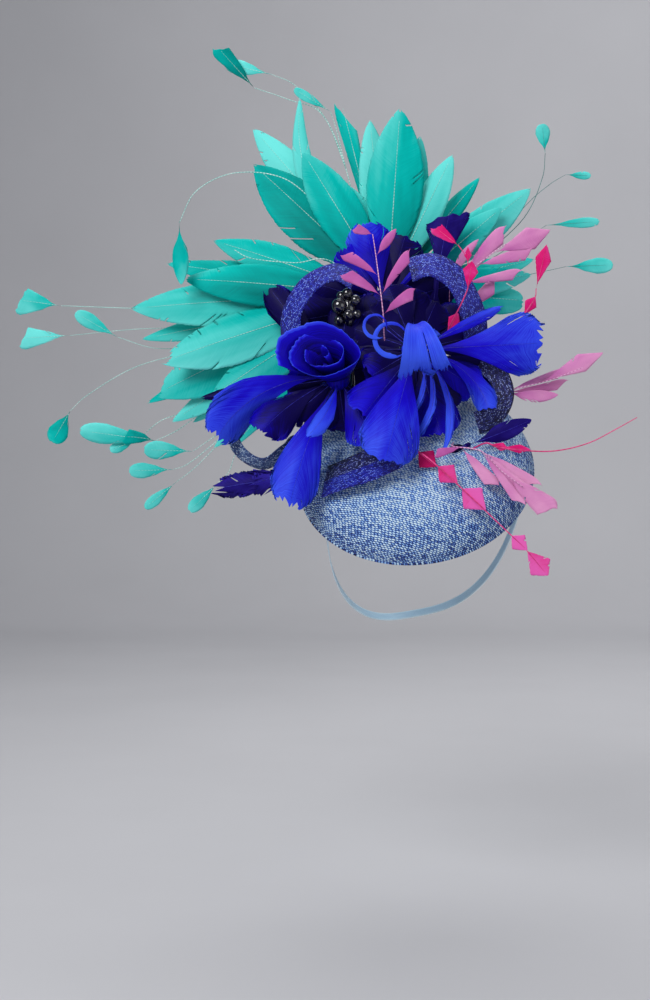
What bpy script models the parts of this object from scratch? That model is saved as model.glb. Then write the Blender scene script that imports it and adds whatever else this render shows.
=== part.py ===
"""Feathered fascinator: a domed straw base worn tipped to the front, with fans, flowers and quills on it.

Run with: blender --background --python part.py

Sizes are in millimetres and turned into metres when a mesh is made. +Z is up as worn, +X is to
the right of someone who faces the show side, and -Y points at them. The origin is the middle of
the base's rim, where it sits on the head.
"""

import math
from collections import namedtuple

import bmesh
import bpy
from mathutils import Matrix, Quaternion, Vector
from mathutils.bvhtree import BVHTree

MM = 0.001
SEAT_GAP = 0.3

BASE_RADIUS = 103
BASE_HEIGHT = 46
BASE_WALL = 2.2
RIM_BEAD = 2.0
BASE_STEPS = 32
DOME_ROWS = 5
TIP_FORWARD = 48
TIP_LEFT = 10.7

ELASTIC_WIDTH = 8
ELASTIC_DROP = 150
ELASTIC_WALL = 1.0
ELASTIC_ANGLE = 28
ELASTIC_INSET = 4.0
ELASTIC_SQUARE = 0.7
ELASTIC_STEPS = 18
ELASTIC_FALL = (0, 0.75, -0.66)
SEW_HEIGHT = 2
STRAW_WALL = 1.2

FEATHER_WALL = 1.1
QUILL_WIDTH = 2.4
FEATHER_BARE = 0.1
FEATHER_CUP = 0.2
FEATHER_ROWS = 4
TURN_PER_ROW = 50
NARROW = 30
STEM_SIDES = 6
STEM_FOOT_RADIUS = 1.2
STEM_RADIUS = 2.4
HEAD_SIDES = 6
HEAD_RINGS = 4
THIN_QUILL_RADIUS = 0.8
STEPS_BETWEEN_KNOTS = 1.6
FAN_QUILL_STEPS = 14
LEAF_ROWS = 3
SMOOTH_ANGLE = 40

FRONT = Vector((0, -1, 0))

# How a feather's edge runs from its widest place to its tip: where that place is, two powers, and
# how much of the width is left at the end
TIP_SHAPES = {
    "pointed": (0.58, 2.0, 0.85, 0),
    "round": (0.66, 2.4, 0.5, 0.45),
    "square": (0.6, 9.0, 0.5, 0.8),
    "strip": (0.25, 5.0, 0.9, 0.3),
    "kite": (0.45, 1.0, 1.0, 0),
}

# clock: the way it points, 0 to the right and 90 up. lean: how far it tips to the back.
# curl: how far its tip has turned to the front. sweep: how far its tip has turned anticlockwise.
# roll: its turn round its own shaft. Angles in degrees, length and width in millimetres.
Feather = namedtuple("Feather", "clock lean length width curl sweep roll tip")

# share: how far along its stem a leaf starts. The other columns are as for a feather.
Leaf = namedtuple("Leaf", "share clock lean length width curl sweep tip")

# The foot is a place on the base, across and up its slope from the top of the dome.
Plume = namedtuple("Plume", "foot heart head_radius feathers")

# A feather wound round into an open cup: the middle of its rim, how far the rim reaches across and
# up, the clock place where it starts, its turns, and how much smaller its last turn is
Rose = namedtuple("Rose", "rim across up start turns shrink")

FANS = {
    "turquoise_fan_left": Plume((-22, 78), (-37, 20, 158), 5, (
        Feather(156, 12, 160, 33, -4, 4, 8, "pointed"),
        Feather(171, 6, 173, 40, -4, 4, 10, "pointed"),
        Feather(168, 16, 205, 28, -4, 0, 10, "pointed"),
        Feather(181, 10, 228, 46, -6, 2, 10, "pointed"),
        Feather(188, 15, 227, 26, -4, 0, 10, "pointed"),
        Feather(194, 4, 199, 50, -4, 4, 14, "round"),
        Feather(201, 10, 221, 55, -6, 2, 16, "round"),
        Feather(203, 15, 240, 24, -4, 0, 14, "pointed"),
        Feather(209, 2, 172, 42, -4, 4, 14, "pointed"),
        Feather(209, 12, 222, 34, -4, 2, 16, "pointed"),
        Feather(213, 15, 209, 24, -4, 0, 16, "pointed"),
        Feather(221, 11, 203, 26, -4, 2, 20, "pointed"),
        Feather(226, 7, 191, 18, -4, 0, 20, "pointed"),
    )),
    "turquoise_fan_top": Plume((-9, 80), (-23, 24, 164), 5, (
        Feather(86, 4, 169, 53, -4, 0, -4, "pointed"),
        Feather(78, 11, 154, 35, -4, 0, -6, "pointed"),
        Feather(95, 13, 171, 32, -4, 0, 4, "pointed"),
        Feather(121, 4, 149, 43, -4, 0, 0, "pointed"),
        Feather(135, 11, 177, 54, -4, 0, 6, "pointed"),
        Feather(126, 17, 217, 40, -4, 2, 0, "pointed"),
        Feather(116, 17, 236, 16, -4, 0, 0, "strip"),
        Feather(109, 9, 105, 30, -4, 0, 4, "pointed"),
        Feather(65, 8, 143, 32, -4, 0, -14, "pointed"),
        Feather(52, 16, 149, 20, -4, 0, -6, "pointed"),
    )),
    "turquoise_fan_right": Plume((4, 80), (-10, 20, 161), 5, (
        Feather(40, 9, 158, 37, -4, 0, -6, "pointed"),
        Feather(41, 3, 120, 28, -4, 0, -4, "pointed"),
        Feather(16, 11, 130, 24, -4, 0, -6, "pointed"),
        Feather(9, 5, 120, 28, -4, 0, -8, "pointed"),
        Feather(358, 8, 115, 30, -4, 0, -12, "round"),
    )),
}

FLOWERS = {
    "blue_flower_left": Plume((-54, 46), (-68, -30, 80), 9, (
        Feather(168, -14, 138, 54, 16, 66, -20, "round"),
        Feather(188, 2, 117, 16, 0, 0, 0, "pointed"),
        Feather(198, -3, 92, 42, 30, 40, 20, "round"),
        Feather(80, -44, 100, 30, 40, 320, 0, "strip"),
        Feather(97, 32, 54, 46, 0, 0, 0, "round"),
        Feather(268, -44, 80, 22, 0, -30, 0, "pointed"),
        Feather(238, -26, 128, 46, -14, 18, 0, "round"),
        Feather(126, 20, 112, 28, 0, 0, 0, "round"),
        Feather(300, -26, 70, 46, 0, 0, 0, "round"),
    )),
    "blue_flower_right": Plume((17, 54), (-2, -35, 104), 9, (
        Feather(2, -10, 111, 56, -6, 0, 6, "square"),
        Feather(26, -4, 84, 14, 0, 0, 0, "pointed"),
        Feather(0, -6, 104, 22, 20, -68, 0, "round"),
        Feather(250, -42, 120, 57, -34, 6, 0, "round"),
        Feather(98, -50, 104, 44, 190, 0, 0, "square"),
        Feather(200, -2, 50, 38, 0, 0, 0, "round"),
        Feather(328, 4, 66, 40, 0, 0, 0, "round"),
        Feather(112, 14, 66, 46, 0, 0, 0, "round"),
        Feather(212, -20, 50, 40, 0, 0, 0, "round"),
        Feather(232, -24, 84, 48, 0, 0, 0, "round"),
        Feather(286, -12, 80, 48, 0, 0, 0, "round"),
        Feather(150, -56, 90, 8, 200, 60, 0, "strip"),
        Feather(212, -56, 84, 8, 240, 0, 0, "strip"),
        Feather(312, -34, 96, 11, 0, -80, 0, "pointed"),
        Feather(322, -30, 104, 11, 0, -76, 0, "pointed"),
        Feather(328, -22, 106, 12, 0, -52, 0, "pointed"),
    )),
    "blue_feathers_back": Plume((-10, 52), (-26, 2, 147), 4, (
        Feather(104, 1, 78, 44, -4, 0, 0, "round"),
        Feather(145, -5, 59, 17, 0, 0, 0, "pointed"),
        Feather(58, -5, 57, 9, 10, -20, 0, "strip"),
        Feather(268, 8, 64, 44, 0, 0, 0, "round"),
        Feather(190, 0, 86, 58, 0, 0, 0, "round"),
        Feather(240, 6, 92, 50, 0, 0, 0, "round"),
    )),
    "navy_feather": Plume((24, 62), (20, 6, 174), 3, (
        Feather(83, 2, 58, 36, 0, 0, 0, "square"),
        Feather(262, 0, 62, 36, 0, 0, 0, "round"),
    )),
    "blue_feather_low": Plume((-84, -8), (-86, -33, -2), 2.5, (
        Feather(184, 4, 92, 20, 0, -6, 0, "round"),
    )),
    "navy_leaf": Plume((43, -18), (42, -50, 22), 2.5, (
        Feather(18, 0, 58, 16, 0, 6, 0, "pointed"),
    )),
}

NAVY = ("navy_feather", "navy_leaf", "blue_feather_low")

ROSES = {"blue_flower_left": Rose((-84, -62, 100), 40, 27, 205, 1.5, 0.6)}
ROSE_THROAT = 0.1
ROSE_FLARE = 0.7

# The knots of a stem run from its foot outwards.
Stem = namedtuple("Stem", "knots leaves")

QUILLS = {
    "quills_top": ((-14, 97), 1.2, (
        Stem((
            (-34, 56, 150), (-45, 68, 215), (-60, 84, 288),
            (-82, 100, 342), (-115, 106, 358), (-147, 110, 370),
        ), (
            Leaf(0.98, 132, 0, 50, 11, 0, 0, "pointed"),
        )),
        Stem(((-60, 84, 288), (-78, 98, 336), (-107, 104, 370), (-131, 106, 382)), (
            Leaf(0.98, 165, 0, 42, 16, 0, 0, "pointed"),
        )),
        Stem(((-60, 84, 288), (-68, 96, 325), (-74, 98, 344)), (
            Leaf(0.96, 148, 0, 41, 10, 0, 0, "pointed"),
        )),
    )),
    "quills_left": ((-34, 93), 1.2, (
        Stem(((-56, 56, 112), (-110, 70, 140), (-180, 84, 153), (-260, 96, 157), (-330, 100, 160)), (
            Leaf(0.98, 172, 0, 44, 20, 0, 0, "pointed"),
        )),
        Stem(((-56, 56, 112), (-112, 72, 126), (-180, 86, 136), (-250, 98, 138), (-322, 102, 132)), (
            Leaf(0.98, 183, 0, 50, 17, 0, 0, "pointed"),
        )),
        Stem(((-110, 71, 132), (-170, 86, 124), (-235, 98, 119), (-276, 100, 130)), (
            Leaf(0.97, 150, 0, 47, 15, 0, 0, "pointed"),
        )),
        Stem((
            (-56, 56, 112), (-120, 74, 118), (-180, 84, 118),
            (-253, 92, 103), (-302, 94, 76), (-320, 94, 60),
        ), (
            Leaf(0.95, 236, 0, 32, 16, 0, 0, "round"),
        )),
    )),
    "quills_lower_left": ((-50, 78), 1.2, (
        Stem(((-78, 54, 84), (-140, 74, 82), (-190, 84, 60), (-218, 86, 41), (-239, 86, 31)), (
            Leaf(0.97, 172, 0, 72, 18, 0, 0, "pointed"),
        )),
        Stem(((-190, 84, 60), (-230, 88, 52), (-256, 90, 32)), (
            Leaf(0.97, 200, 0, 28, 11, 0, 0, "pointed"),
        )),
        Stem(((-78, 54, 84), (-135, 70, 68), (-175, 78, 40), (-203, 80, 21)), (
            Leaf(0.97, 178, 0, 46, 18, 0, 0, "pointed"),
        )),
        Stem(((-135, 70, 68), (-176, 76, 34), (-206, 78, 10), (-221, 78, 4)), (
            Leaf(0.97, 182, 0, 42, 15, 0, 0, "pointed"),
        )),
        Stem(((-135, 70, 68), (-170, 74, 36), (-200, 74, 6), (-218, 74, -8)), (
            Leaf(0.97, 220, 0, 36, 9, 0, 0, "pointed"),
        )),
        Stem(((-135, 70, 68), (-160, 68, 24), (-168, 66, 2), (-179, 64, -10)), (
            Leaf(0.97, 224, 0, 36, 13, 0, 0, "pointed"),
        )),
    )),
    "quills_right": ((16, 97), 1.2, (
        Stem(((20, 58, 140), (64, 64, 196), (106, 74, 238), (124, 80, 276), (127, 80, 300)), (
            Leaf(0.98, 96, 0, 28, 14, 0, 0, "round"),
        )),
        Stem(((64, 64, 196), (106, 76, 248), (130, 80, 270), (146, 80, 280)), (
            Leaf(0.98, 358, 0, 24, 8, 0, 0, "round"),
        )),
        Stem(((20, 58, 140), (64, 62, 190), (126, 66, 230)), (
            Leaf(0.98, 4, 0, 50, 10, 0, 0, "pointed"),
        )),
        Stem(((20, 58, 140), (70, 56, 172), (142, 56, 190)), (
            Leaf(0.98, 2, 0, 44, 15, 0, 0, "round"),
        )),
    )),
}

FRONDS = {
    "mauve_frond_top": ((-6, 38), 1.0, (
        Stem((
            (-22, -12, 84), (-28, -30, 113), (-30, -50, 132),
            (-33, -44, 160), (-36, -27, 190), (-38, -22, 205),
        ), (
            Leaf(0.98, 160, 0, 18, 9, 0, 0, "strip"),
            Leaf(0.72, 138, 4, 38, 10, 0, 14, "strip"),
            Leaf(0.56, 140, 0, 40, 11, 0, 14, "strip"),
            Leaf(0.84, 54, 6, 30, 8, 0, 0, "pointed"),
            Leaf(0.6, 64, 12, 50, 10, 0, -12, "strip"),
            Leaf(0.54, 49, 10, 37, 11, 0, -20, "strip"),
        )),
    )),
    "mauve_frond_upper_right": ((44, 68), 1.0, (
        Stem(((34, 12, 130), (44, -2, 170), (64, -5, 189), (82, -3, 201), (104, -1, 208)), (
            Leaf(0.62, 52, 0, 46, 13, 0, -24, "strip"),
            Leaf(0.9, 22, 0, 40, 18, 0, 0, "kite"),
            Leaf(0.66, 14, 0, 56, 11, 0, 4, "strip"),
            Leaf(0.58, 6, 0, 46, 8, 0, 0, "strip"),
            Leaf(0.5, 318, -4, 34, 12, 0, 50, "strip"),
            Leaf(0.56, 62, 0, 32, 7, 0, 0, "pointed"),
        )),
    )),
    "mauve_frond_right": ((70, 36), 1.0, (
        Stem(((74, -14, 67), (87, -20, 72), (115, -25, 79), (142, -30, 89)), (
            Leaf(0.9, 32, -4, 44, 19, 0, 0, "kite"),
            Leaf(0.3, 24, -6, 58, 8, 0, -8, "strip"),
            Leaf(0.34, 4, 6, 58, 9, 0, 8, "strip"),
            Leaf(0.26, 344, 0, 46, 11, 0, 20, "pointed"),
        )),
    )),
    "mauve_frond_low": ((34, -14), 1.0, (
        Stem(((44, -68, 12), (59, -77, 0), (84, -80, -16)), (
            Leaf(0.96, 322, 0, 48, 22, 0, 0, "kite"),
            Leaf(0.2, 322, -2, 46, 11, 0, 0, "strip"),
            Leaf(0.3, 300, -8, 42, 10, 0, 0, "strip"),
            Leaf(0.3, 346, 4, 46, 10, 0, -10, "strip"),
            Leaf(0.5, 334, 8, 40, 9, 0, 0, "strip"),
        )),
    )),
}

PINKS = {
    "pink_quill_front": ((-10, -6), 1.2, (
        Stem(((4, -70, 12), (31, -83, -13), (64, -90, -45), (84, -90, -64)), (
            Leaf(0.16, 320, -8, 20, 18, 0, 0, "square"),
            Leaf(0.34, 320, 0, 22, 18, 0, 0, "square"),
            Leaf(0.54, 318, 0, 26, 20, 0, 0, "square"),
            Leaf(0.82, 317, 0, 17, 14, 0, 0, "square"),
            Leaf(0.97, 310, 0, 30, 22, 0, 0, "kite"),
        )),
    )),
    "pink_quill_right": ((48, -22), 0.9, (
        Stem((
            (56, -62, 23), (67, -64, 19), (101, -63, 16), (123, -61, 18),
            (144, -58, 24), (162, -55, 33), (184, -52, 45),
        ), (
            Leaf(0.15, 345, 0, 16, 8, 0, 0, "kite"),
            Leaf(0.3, 356, 0, 28, 8, 0, 0, "kite"),
        )),
    )),
    "pink_quill_top": ((28, 48), 0.9, (
        Stem((
            (22, -12, 100), (27, -27, 122), (37, -44, 143),
            (43, -44, 160), (42, -38, 181), (35, -32, 194),
        ), (
            Leaf(0.98, 142, 4, 27, 12, 0, 0, "square"),
            Leaf(0.84, 90, 0, 14, 7, 0, 0, "square"),
            Leaf(0.56, 80, 0, 26, 14, 0, 0, "kite"),
            Leaf(0.32, 62, 0, 22, 12, 0, 0, "kite"),
        )),
    )),
    "pink_quill_upper_right": ((76, 46), 0.9, (
        Stem(((70, 2, 95), (80, -14, 118), (90, -20, 131), (102, -20, 149), (104, -18, 159)), (
            Leaf(0.98, 76, 2, 40, 15, 0, 0, "kite"),
            Leaf(0.66, 58, 0, 22, 12, 0, 0, "kite"),
        )),
    )),
}

# Two quills that spring from a fan's own head, and the leaf at the end of the first
FAN_QUILLS = {
    "turquoise_fan_top": Stem(
        (
            (-23, 24, 164), (-62, 34, 210), (-99, 38, 255), (-128, 40, 271),
            (-166, 38, 271), (-196, 30, 253), (-210, 24, 224),
        ),
        (Leaf(0.98, 272, 0, 56, 15, 0, 0, "pointed"),),
    ),
    "turquoise_fan_left": Stem(
        ((-37, 20, 158), (-75, 12, 188), (-106, 11, 186), (-144, 12, 190), (-160, 14, 198)),
        (),
    ),
}

# facing: 0 where the band lies flat to the front, 90 where its edge does. Knots run from the foot.
Loop = namedtuple("Loop", "foot centre width facing knots")

LOOPS = {
    "loop_upper_left": Loop((-80, 45), (-68, 128), 22, 38, (
        (-100, -10, 76), (-108, -26, 118), (-106, -28, 140),
        (-92, -28, 161), (-71, -28, 171), (-54, -26, 164),
    )),
    "loop_upper_right": Loop((52, 48), (2, 128), 26, 30, (
        (50, -12, 98), (50, -26, 128), (42, -30, 152), (31, -30, 168), (12, -28, 178), (-6, -24, 174),
    )),
    "loop_right": Loop((57, -2), (40, 68), 22, 28, (
        (64, -38, 47), (74, -32, 65), (70, -26, 83), (56, -20, 96),
    )),
    "loop_lower_left": Loop((-87, 34), (-132, 34), 14, 46, (
        (-104, -14, 30), (-112, -22, 20), (-132, -24, 7),
        (-152, -19, 17), (-159, -12, 36), (-150, -6, 56),
    )),
    "band_front": Loop((-80, -20), (-50, 120), 34, -38, (
        (-62, -52, -2), (-40, -62, 6), (-18, -60, 16),
    )),
}

BEAD_FOOT = (-46, 14)
BEAD_SETTING = (-59, -24, 138)
BEAD_SETTING_RADIUS = 7
BEAD_SETTING_TALL = 2.0
BEAD_SIDES = 10
BEAD_RINGS = 5

# Place of each bead's middle from the setting's, and its radius
Bead = namedtuple("Bead", "across back up radius")
BEADS = (
    Bead(-8, -6, 4, 7.0),
    Bead(-1, -4, 15, 5.0),
    Bead(6, -6, 9, 5.0),
    Bead(0, -8, -4, 5.0),
    Bead(7, -5, -3, 4.5),
    Bead(-8, -4, -8, 4.5),
    Bead(-6, -2, 13, 4.5),
)

# Base colour, roughness, metallic
FINISHES = {
    "denim_straw": ((0.10, 0.20, 0.48, 1), 0.7, 0.0),
    "pale_elastic": ((0.26, 0.45, 0.55, 1), 0.8, 0.0),
    "blue_straw": ((0.03, 0.06, 0.50, 1), 0.6, 0.0),
    "turquoise_feather": ((0.0, 0.48, 0.38, 1), 0.55, 0.0),
    "royal_feather": ((0.015, 0.010, 0.58, 1), 0.5, 0.0),
    "navy_feather": ((0.015, 0.008, 0.16, 1), 0.55, 0.0),
    "mauve_feather": ((0.50, 0.12, 0.42, 1), 0.6, 0.0),
    "pink_feather": ((0.72, 0.02, 0.16, 1), 0.5, 0.0),
    "black_bead": ((0.006, 0.006, 0.03, 1), 0.12, 0.0),
}


def clear_scene():
    for thing in list(bpy.data.objects):
        bpy.data.objects.remove(thing)


def new_collection(name, parent):
    group = bpy.data.collections.new(name)
    parent.children.link(group)
    return group


def new_material(name):
    colour, roughness, metallic = FINISHES[name]
    finish = bpy.data.materials.new(name)
    finish.use_nodes = True
    shader = finish.node_tree.nodes["Principled BSDF"]
    shader.inputs["Base Color"].default_value = colour
    shader.inputs["Roughness"].default_value = roughness
    shader.inputs["Metallic"].default_value = metallic
    return finish


def new_object(name, mesh, group, finish):
    thing = bpy.data.objects.new(name, mesh)
    mesh.materials.clear()
    mesh.materials.append(finish)
    mesh.shade_smooth()
    mesh.set_sharp_from_angle(angle=math.radians(SMOOTH_ANGLE))
    group.objects.link(thing)
    return thing


def mesh_from(shape, name):
    """The mesh of a bmesh that was drawn in millimetres."""
    bmesh.ops.scale(shape, vec=(MM, MM, MM), verts=shape.verts)
    bmesh.ops.recalc_face_normals(shape, faces=shape.faces)
    mesh = bpy.data.meshes.new(name)
    shape.to_mesh(mesh)
    shape.free()
    return mesh


def add_wall(thing, thickness):
    wall = thing.modifiers.new("wall", "SOLIDIFY")
    wall.thickness = thickness * MM
    wall.offset = 0


def smooth_path(knots, steps):
    """Points of a smooth curve through the knots, evenly shared out between them."""
    knots = [Vector(knot) for knot in knots]
    before = 2 * knots[0] - knots[1]
    after = 2 * knots[-1] - knots[-2]
    padded = [before, *knots, after]
    spans = len(knots) - 1
    points = []
    for step in range(steps + 1):
        place = spans * step / steps
        span = min(int(place), spans - 1)
        t = place - span
        a, b, c, d = padded[span:span + 4]
        points.append(0.5 * (
            2 * b + (c - a) * t + (2 * a - 5 * b + 4 * c - d) * t**2 + (3 * b - a - 3 * c + d) * t**3
        ))
    return points


def base_matrix():
    tip_left = Matrix.Rotation(math.radians(-TIP_LEFT), 4, "Y")
    return tip_left @ Matrix.Rotation(math.radians(TIP_FORWARD), 4, "X")


def base_profile():
    """The base's section from the top of the dome, round the bead at the rim, to the top inside."""
    turns = [math.pi / 2 * (1 - row / DOME_ROWS) for row in range(DOME_ROWS + 1)]
    outside = [(BASE_RADIUS * math.cos(a), BASE_HEIGHT * math.sin(a)) for a in turns]
    inner_radius, inner_height = BASE_RADIUS - BASE_WALL, BASE_HEIGHT - BASE_WALL
    inside = [(inner_radius * math.cos(a), inner_height * math.sin(a)) for a in reversed(turns)]
    bead = [
        (BASE_RADIUS + RIM_BEAD / 2, -RIM_BEAD / 2),
        (BASE_RADIUS - BASE_WALL / 2, -RIM_BEAD),
        (inner_radius - RIM_BEAD / 2, -RIM_BEAD / 2),
    ]
    return outside + bead + inside


def make_base(group, finish):
    shape = bmesh.new()
    corners = [shape.verts.new((max(radius, 0), 0, height)) for radius, height in base_profile()]
    for first, second in zip(corners, corners[1:]):
        shape.edges.new((first, second))
    base = new_object("base_shell", mesh_from(shape, "base_shell"), group, finish)
    turn = base.modifiers.new("turn", "SCREW")
    turn.steps = BASE_STEPS
    turn.render_steps = BASE_STEPS
    turn.use_merge_vertices = True
    turn.merge_threshold = 0.0001
    base.matrix_world = base_matrix()
    return base


class Dome:
    """The base's outer face, to seat stems on."""

    def __init__(self, base):
        bpy.context.view_layer.update()
        graph = bpy.context.evaluated_depsgraph_get()
        self.tree = BVHTree.FromObject(base, graph)
        self.matrix = base_matrix()
        self.up = (self.matrix.to_3x3() @ Vector((0, 0, 1))).normalized()

    def place(self, foot):
        """The point of the outer face over a foot, and the way that face looks."""
        above = Vector((foot[0] * MM, foot[1] * MM, 1))
        hit, normal, _, _ = self.tree.ray_cast(above, Vector((0, 0, -1)))
        out = (self.matrix.to_3x3() @ normal).normalized()
        if out.dot(self.up) < 0:
            out = -out
        return self.matrix @ hit / MM, out

    def clearance(self, point):
        """How far a point is above the outer face, along the base's own up."""
        inside = self.matrix.inverted() @ (point * MM)
        hit, _, _, _ = self.tree.ray_cast(Vector((inside.x, inside.y, 1)), Vector((0, 0, -1)))
        return (inside.z - hit.z) / MM

    def seat(self, foot, towards, radius):
        """Where the end of a stem goes so that its lowest edge keeps the seat gap."""
        place, out = self.place(foot)
        slant = out.angle(Vector(towards) - place)
        return place + out * (SEAT_GAP + radius * math.sin(slant))


def start_frame(clock, lean, roll):
    """A feather's first direction, the way across it and the way its face looks."""
    clock, lean = math.radians(clock), math.radians(lean)
    along = Vector((math.cos(lean) * math.cos(clock), math.sin(lean), math.cos(lean) * math.sin(clock)))
    face = (FRONT - FRONT.dot(along) * along).normalized()
    face.rotate(Quaternion(along, math.radians(roll)))
    return along, along.cross(face), face


def shaft_frames(start, row, steps):
    """(point, across, face) at each step along a feather's shaft, which curls more towards its tip."""
    along, across, face = start_frame(row.clock, row.lean, getattr(row, "roll", 0))
    point = Vector(start)
    frames = [(point.copy(), across.copy(), face.copy())]
    for step in range(steps):
        share = (2 * step + 1) / steps**2
        turn = Quaternion(across, math.radians(row.curl * share))
        turn = Quaternion(face, math.radians(row.sweep / steps)) @ turn
        for axis in (along, across, face):
            axis.rotate(turn)
        point += along * row.length / steps
        frames.append((point.copy(), across.copy(), face.copy()))
    return frames


def half_width(row, t):
    widest, fall, round_off, blunt = TIP_SHAPES[row.tip]
    if t < widest:
        share = max(t - FEATHER_BARE, 0) / (widest - FEATHER_BARE)
        spread = math.sin(math.pi / 2 * share)
    else:
        spread = max((1 - ((t - widest) / (1 - widest)) ** fall) ** round_off, blunt)
    return max(row.width * spread, QUILL_WIDTH) / 2


def feather_mesh(start, row, rows, columns):
    """A flat grid bent along the shaft, as wide as the feather at each row, with its edges bent back."""
    frames = shaft_frames(start, row, rows)
    shape = bmesh.new()
    bmesh.ops.create_grid(shape, x_segments=columns, y_segments=rows, size=1)
    for corner in shape.verts:
        side, t = corner.co.x, (corner.co.y + 1) / 2
        point, across, face = frames[round(t * rows)]
        half = half_width(row, t)
        corner.co = point + across * side * half - face * abs(side) * half * FEATHER_CUP
    return mesh_from(shape, "feather")


def rose_mesh(heart, rose):
    """A grid wound into a spiral cup that opens from the heart to its rim."""
    rows, columns = 3, round(10 * rose.turns)
    shape = bmesh.new()
    bmesh.ops.create_grid(shape, x_segments=columns, y_segments=rows, size=1)
    for corner in shape.verts:
        wound, out = (corner.co.x + 1) / 2, (corner.co.y + 1) / 2
        angle = math.radians(rose.start - 360 * rose.turns * wound)
        radius = (1 - rose.shrink * wound) * (ROSE_THROAT + (1 - ROSE_THROAT) * out**ROSE_FLARE)
        around = Vector((rose.across * math.cos(angle), 0, rose.up * math.sin(angle)))
        corner.co = heart.lerp(Vector(rose.rim), out) + around * radius
    return mesh_from(shape, "rose")


def tube_mesh(points, radius):
    """A round wire through the points, closed at both ends."""
    curve = bpy.data.curves.new("wire", "CURVE")
    curve.dimensions = "3D"
    curve.bevel_depth = radius * MM
    curve.bevel_resolution = 0
    curve.use_fill_caps = True
    line = curve.splines.new("POLY")
    line.points.add(len(points) - 1)
    for knot, point in zip(line.points, points):
        knot.co = (*(point * MM), 1)
    wire = bpy.data.objects.new("wire", curve)
    bpy.context.scene.collection.objects.link(wire)
    graph = bpy.context.evaluated_depsgraph_get()
    mesh = bpy.data.meshes.new_from_object(wire.evaluated_get(graph))
    bpy.data.objects.remove(wire)
    shape = bmesh.new()
    shape.from_mesh(mesh)
    bmesh.ops.remove_doubles(shape, verts=shape.verts, dist=0.00001)
    bmesh.ops.recalc_face_normals(shape, faces=shape.faces)
    shape.to_mesh(mesh)
    shape.free()
    return mesh


def stem_mesh(start, end, first_radius, last_radius):
    """A straight tapered post."""
    run = end - start
    turn = Vector((0, 0, 1)).rotation_difference(run).to_matrix().to_4x4()
    shape = bmesh.new()
    bmesh.ops.create_cone(
        shape,
        cap_ends=True,
        segments=STEM_SIDES,
        radius1=first_radius,
        radius2=last_radius,
        depth=run.length,
        matrix=Matrix.Translation((start + end) / 2) @ turn,
    )
    return mesh_from(shape, "stem")


def ball_mesh(centre, radius, sides, rings, tall=1):
    shape = bmesh.new()
    place = Matrix.Translation(centre) @ Matrix.Diagonal((1, 1, tall, 1))
    bmesh.ops.create_uvsphere(shape, u_segments=sides, v_segments=rings, radius=radius, matrix=place)
    return mesh_from(shape, "ball")


def fuse(name, meshes, walled, groups, finish):
    """A body and the pieces to join to it: closed meshes, and open ones that get a feather's wall."""
    parts, helpers = groups
    body = new_object(name, meshes[0], parts, finish)
    pieces = new_collection(name + "_pieces", helpers)
    for mesh in meshes[1:] + walled:
        piece = new_object("piece", mesh, pieces, finish)
        piece.hide_render = True
        piece.display_type = "WIRE"
        if mesh in walled:
            add_wall(piece, FEATHER_WALL)
    return body, pieces


def join_pieces(body, pieces):
    join = body.modifiers.new("join", "BOOLEAN")
    join.operation = "UNION"
    join.operand_type = "COLLECTION"
    join.collection = pieces
    join.solver = "EXACT"


def leaf_meshes(path, leaves):
    meshes = []
    for leaf in leaves:
        place = path[round(leaf.share * (len(path) - 1))]
        meshes.append(feather_mesh(place, leaf, LEAF_ROWS, 1))
    return meshes


def grid_of(row):
    """How many rows and columns a feather's mesh has: more where it turns further or is wider."""
    rows = FEATHER_ROWS + round(max(abs(row.curl), abs(row.sweep)) / TURN_PER_ROW)
    return rows, 2 if row.width > NARROW else 1


def make_plume(name, plume, dome, groups, finish):
    """A post on the base with a round head, and feathers that spring from it."""
    heart = Vector(plume.heart)
    foot = dome.seat(plume.foot, heart, STEM_FOOT_RADIUS)
    meshes = [
        stem_mesh(foot, heart, STEM_FOOT_RADIUS, STEM_RADIUS),
        ball_mesh(heart, plume.head_radius, HEAD_SIDES, HEAD_RINGS),
    ]
    walled = [feather_mesh(heart, row, *grid_of(row)) for row in plume.feathers]
    if name in ROSES:
        walled.append(rose_mesh(heart, ROSES[name]))
    if name in FAN_QUILLS:
        extra = FAN_QUILLS[name]
        path = smooth_path(extra.knots, FAN_QUILL_STEPS)
        meshes.append(tube_mesh(path, THIN_QUILL_RADIUS))
        walled += leaf_meshes(path, extra.leaves)
    return fuse(name, meshes, walled, groups, finish)


def make_stems(name, row, dome, groups, finish):
    """Thin quills that share a foot on the base, with the leaves along them."""
    foot, radius, stems = row
    meshes, walled = [], []
    for number, stem in enumerate(stems):
        knots = list(stem.knots)
        if number == 0:
            knots.insert(0, dome.seat(foot, knots[0], radius))
        path = smooth_path(knots, round(STEPS_BETWEEN_KNOTS * (len(knots) - 1)))
        meshes.append(tube_mesh(path, radius if number == 0 else THIN_QUILL_RADIUS))
        walled += leaf_meshes(path, stem.leaves)
    return fuse(name, meshes, walled, groups, finish)


def band_across(loop, place):
    """The way across a band at a place: out from the loop's centre, tilted towards its edge."""
    facing = math.radians(loop.facing)
    outward = Vector((place.x - loop.centre[0], 0, place.z - loop.centre[1])).normalized()
    return outward * math.cos(facing) - FRONT * math.sin(facing)


def band_mesh(path, loop):
    shape = bmesh.new()
    bmesh.ops.create_grid(shape, x_segments=1, y_segments=len(path) - 1, size=1)
    for corner in shape.verts:
        side = corner.co.x
        place = path[round((corner.co.y + 1) / 2 * (len(path) - 1))]
        corner.co = place + band_across(loop, place) * side * loop.width / 2
    return mesh_from(shape, "band")


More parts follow.
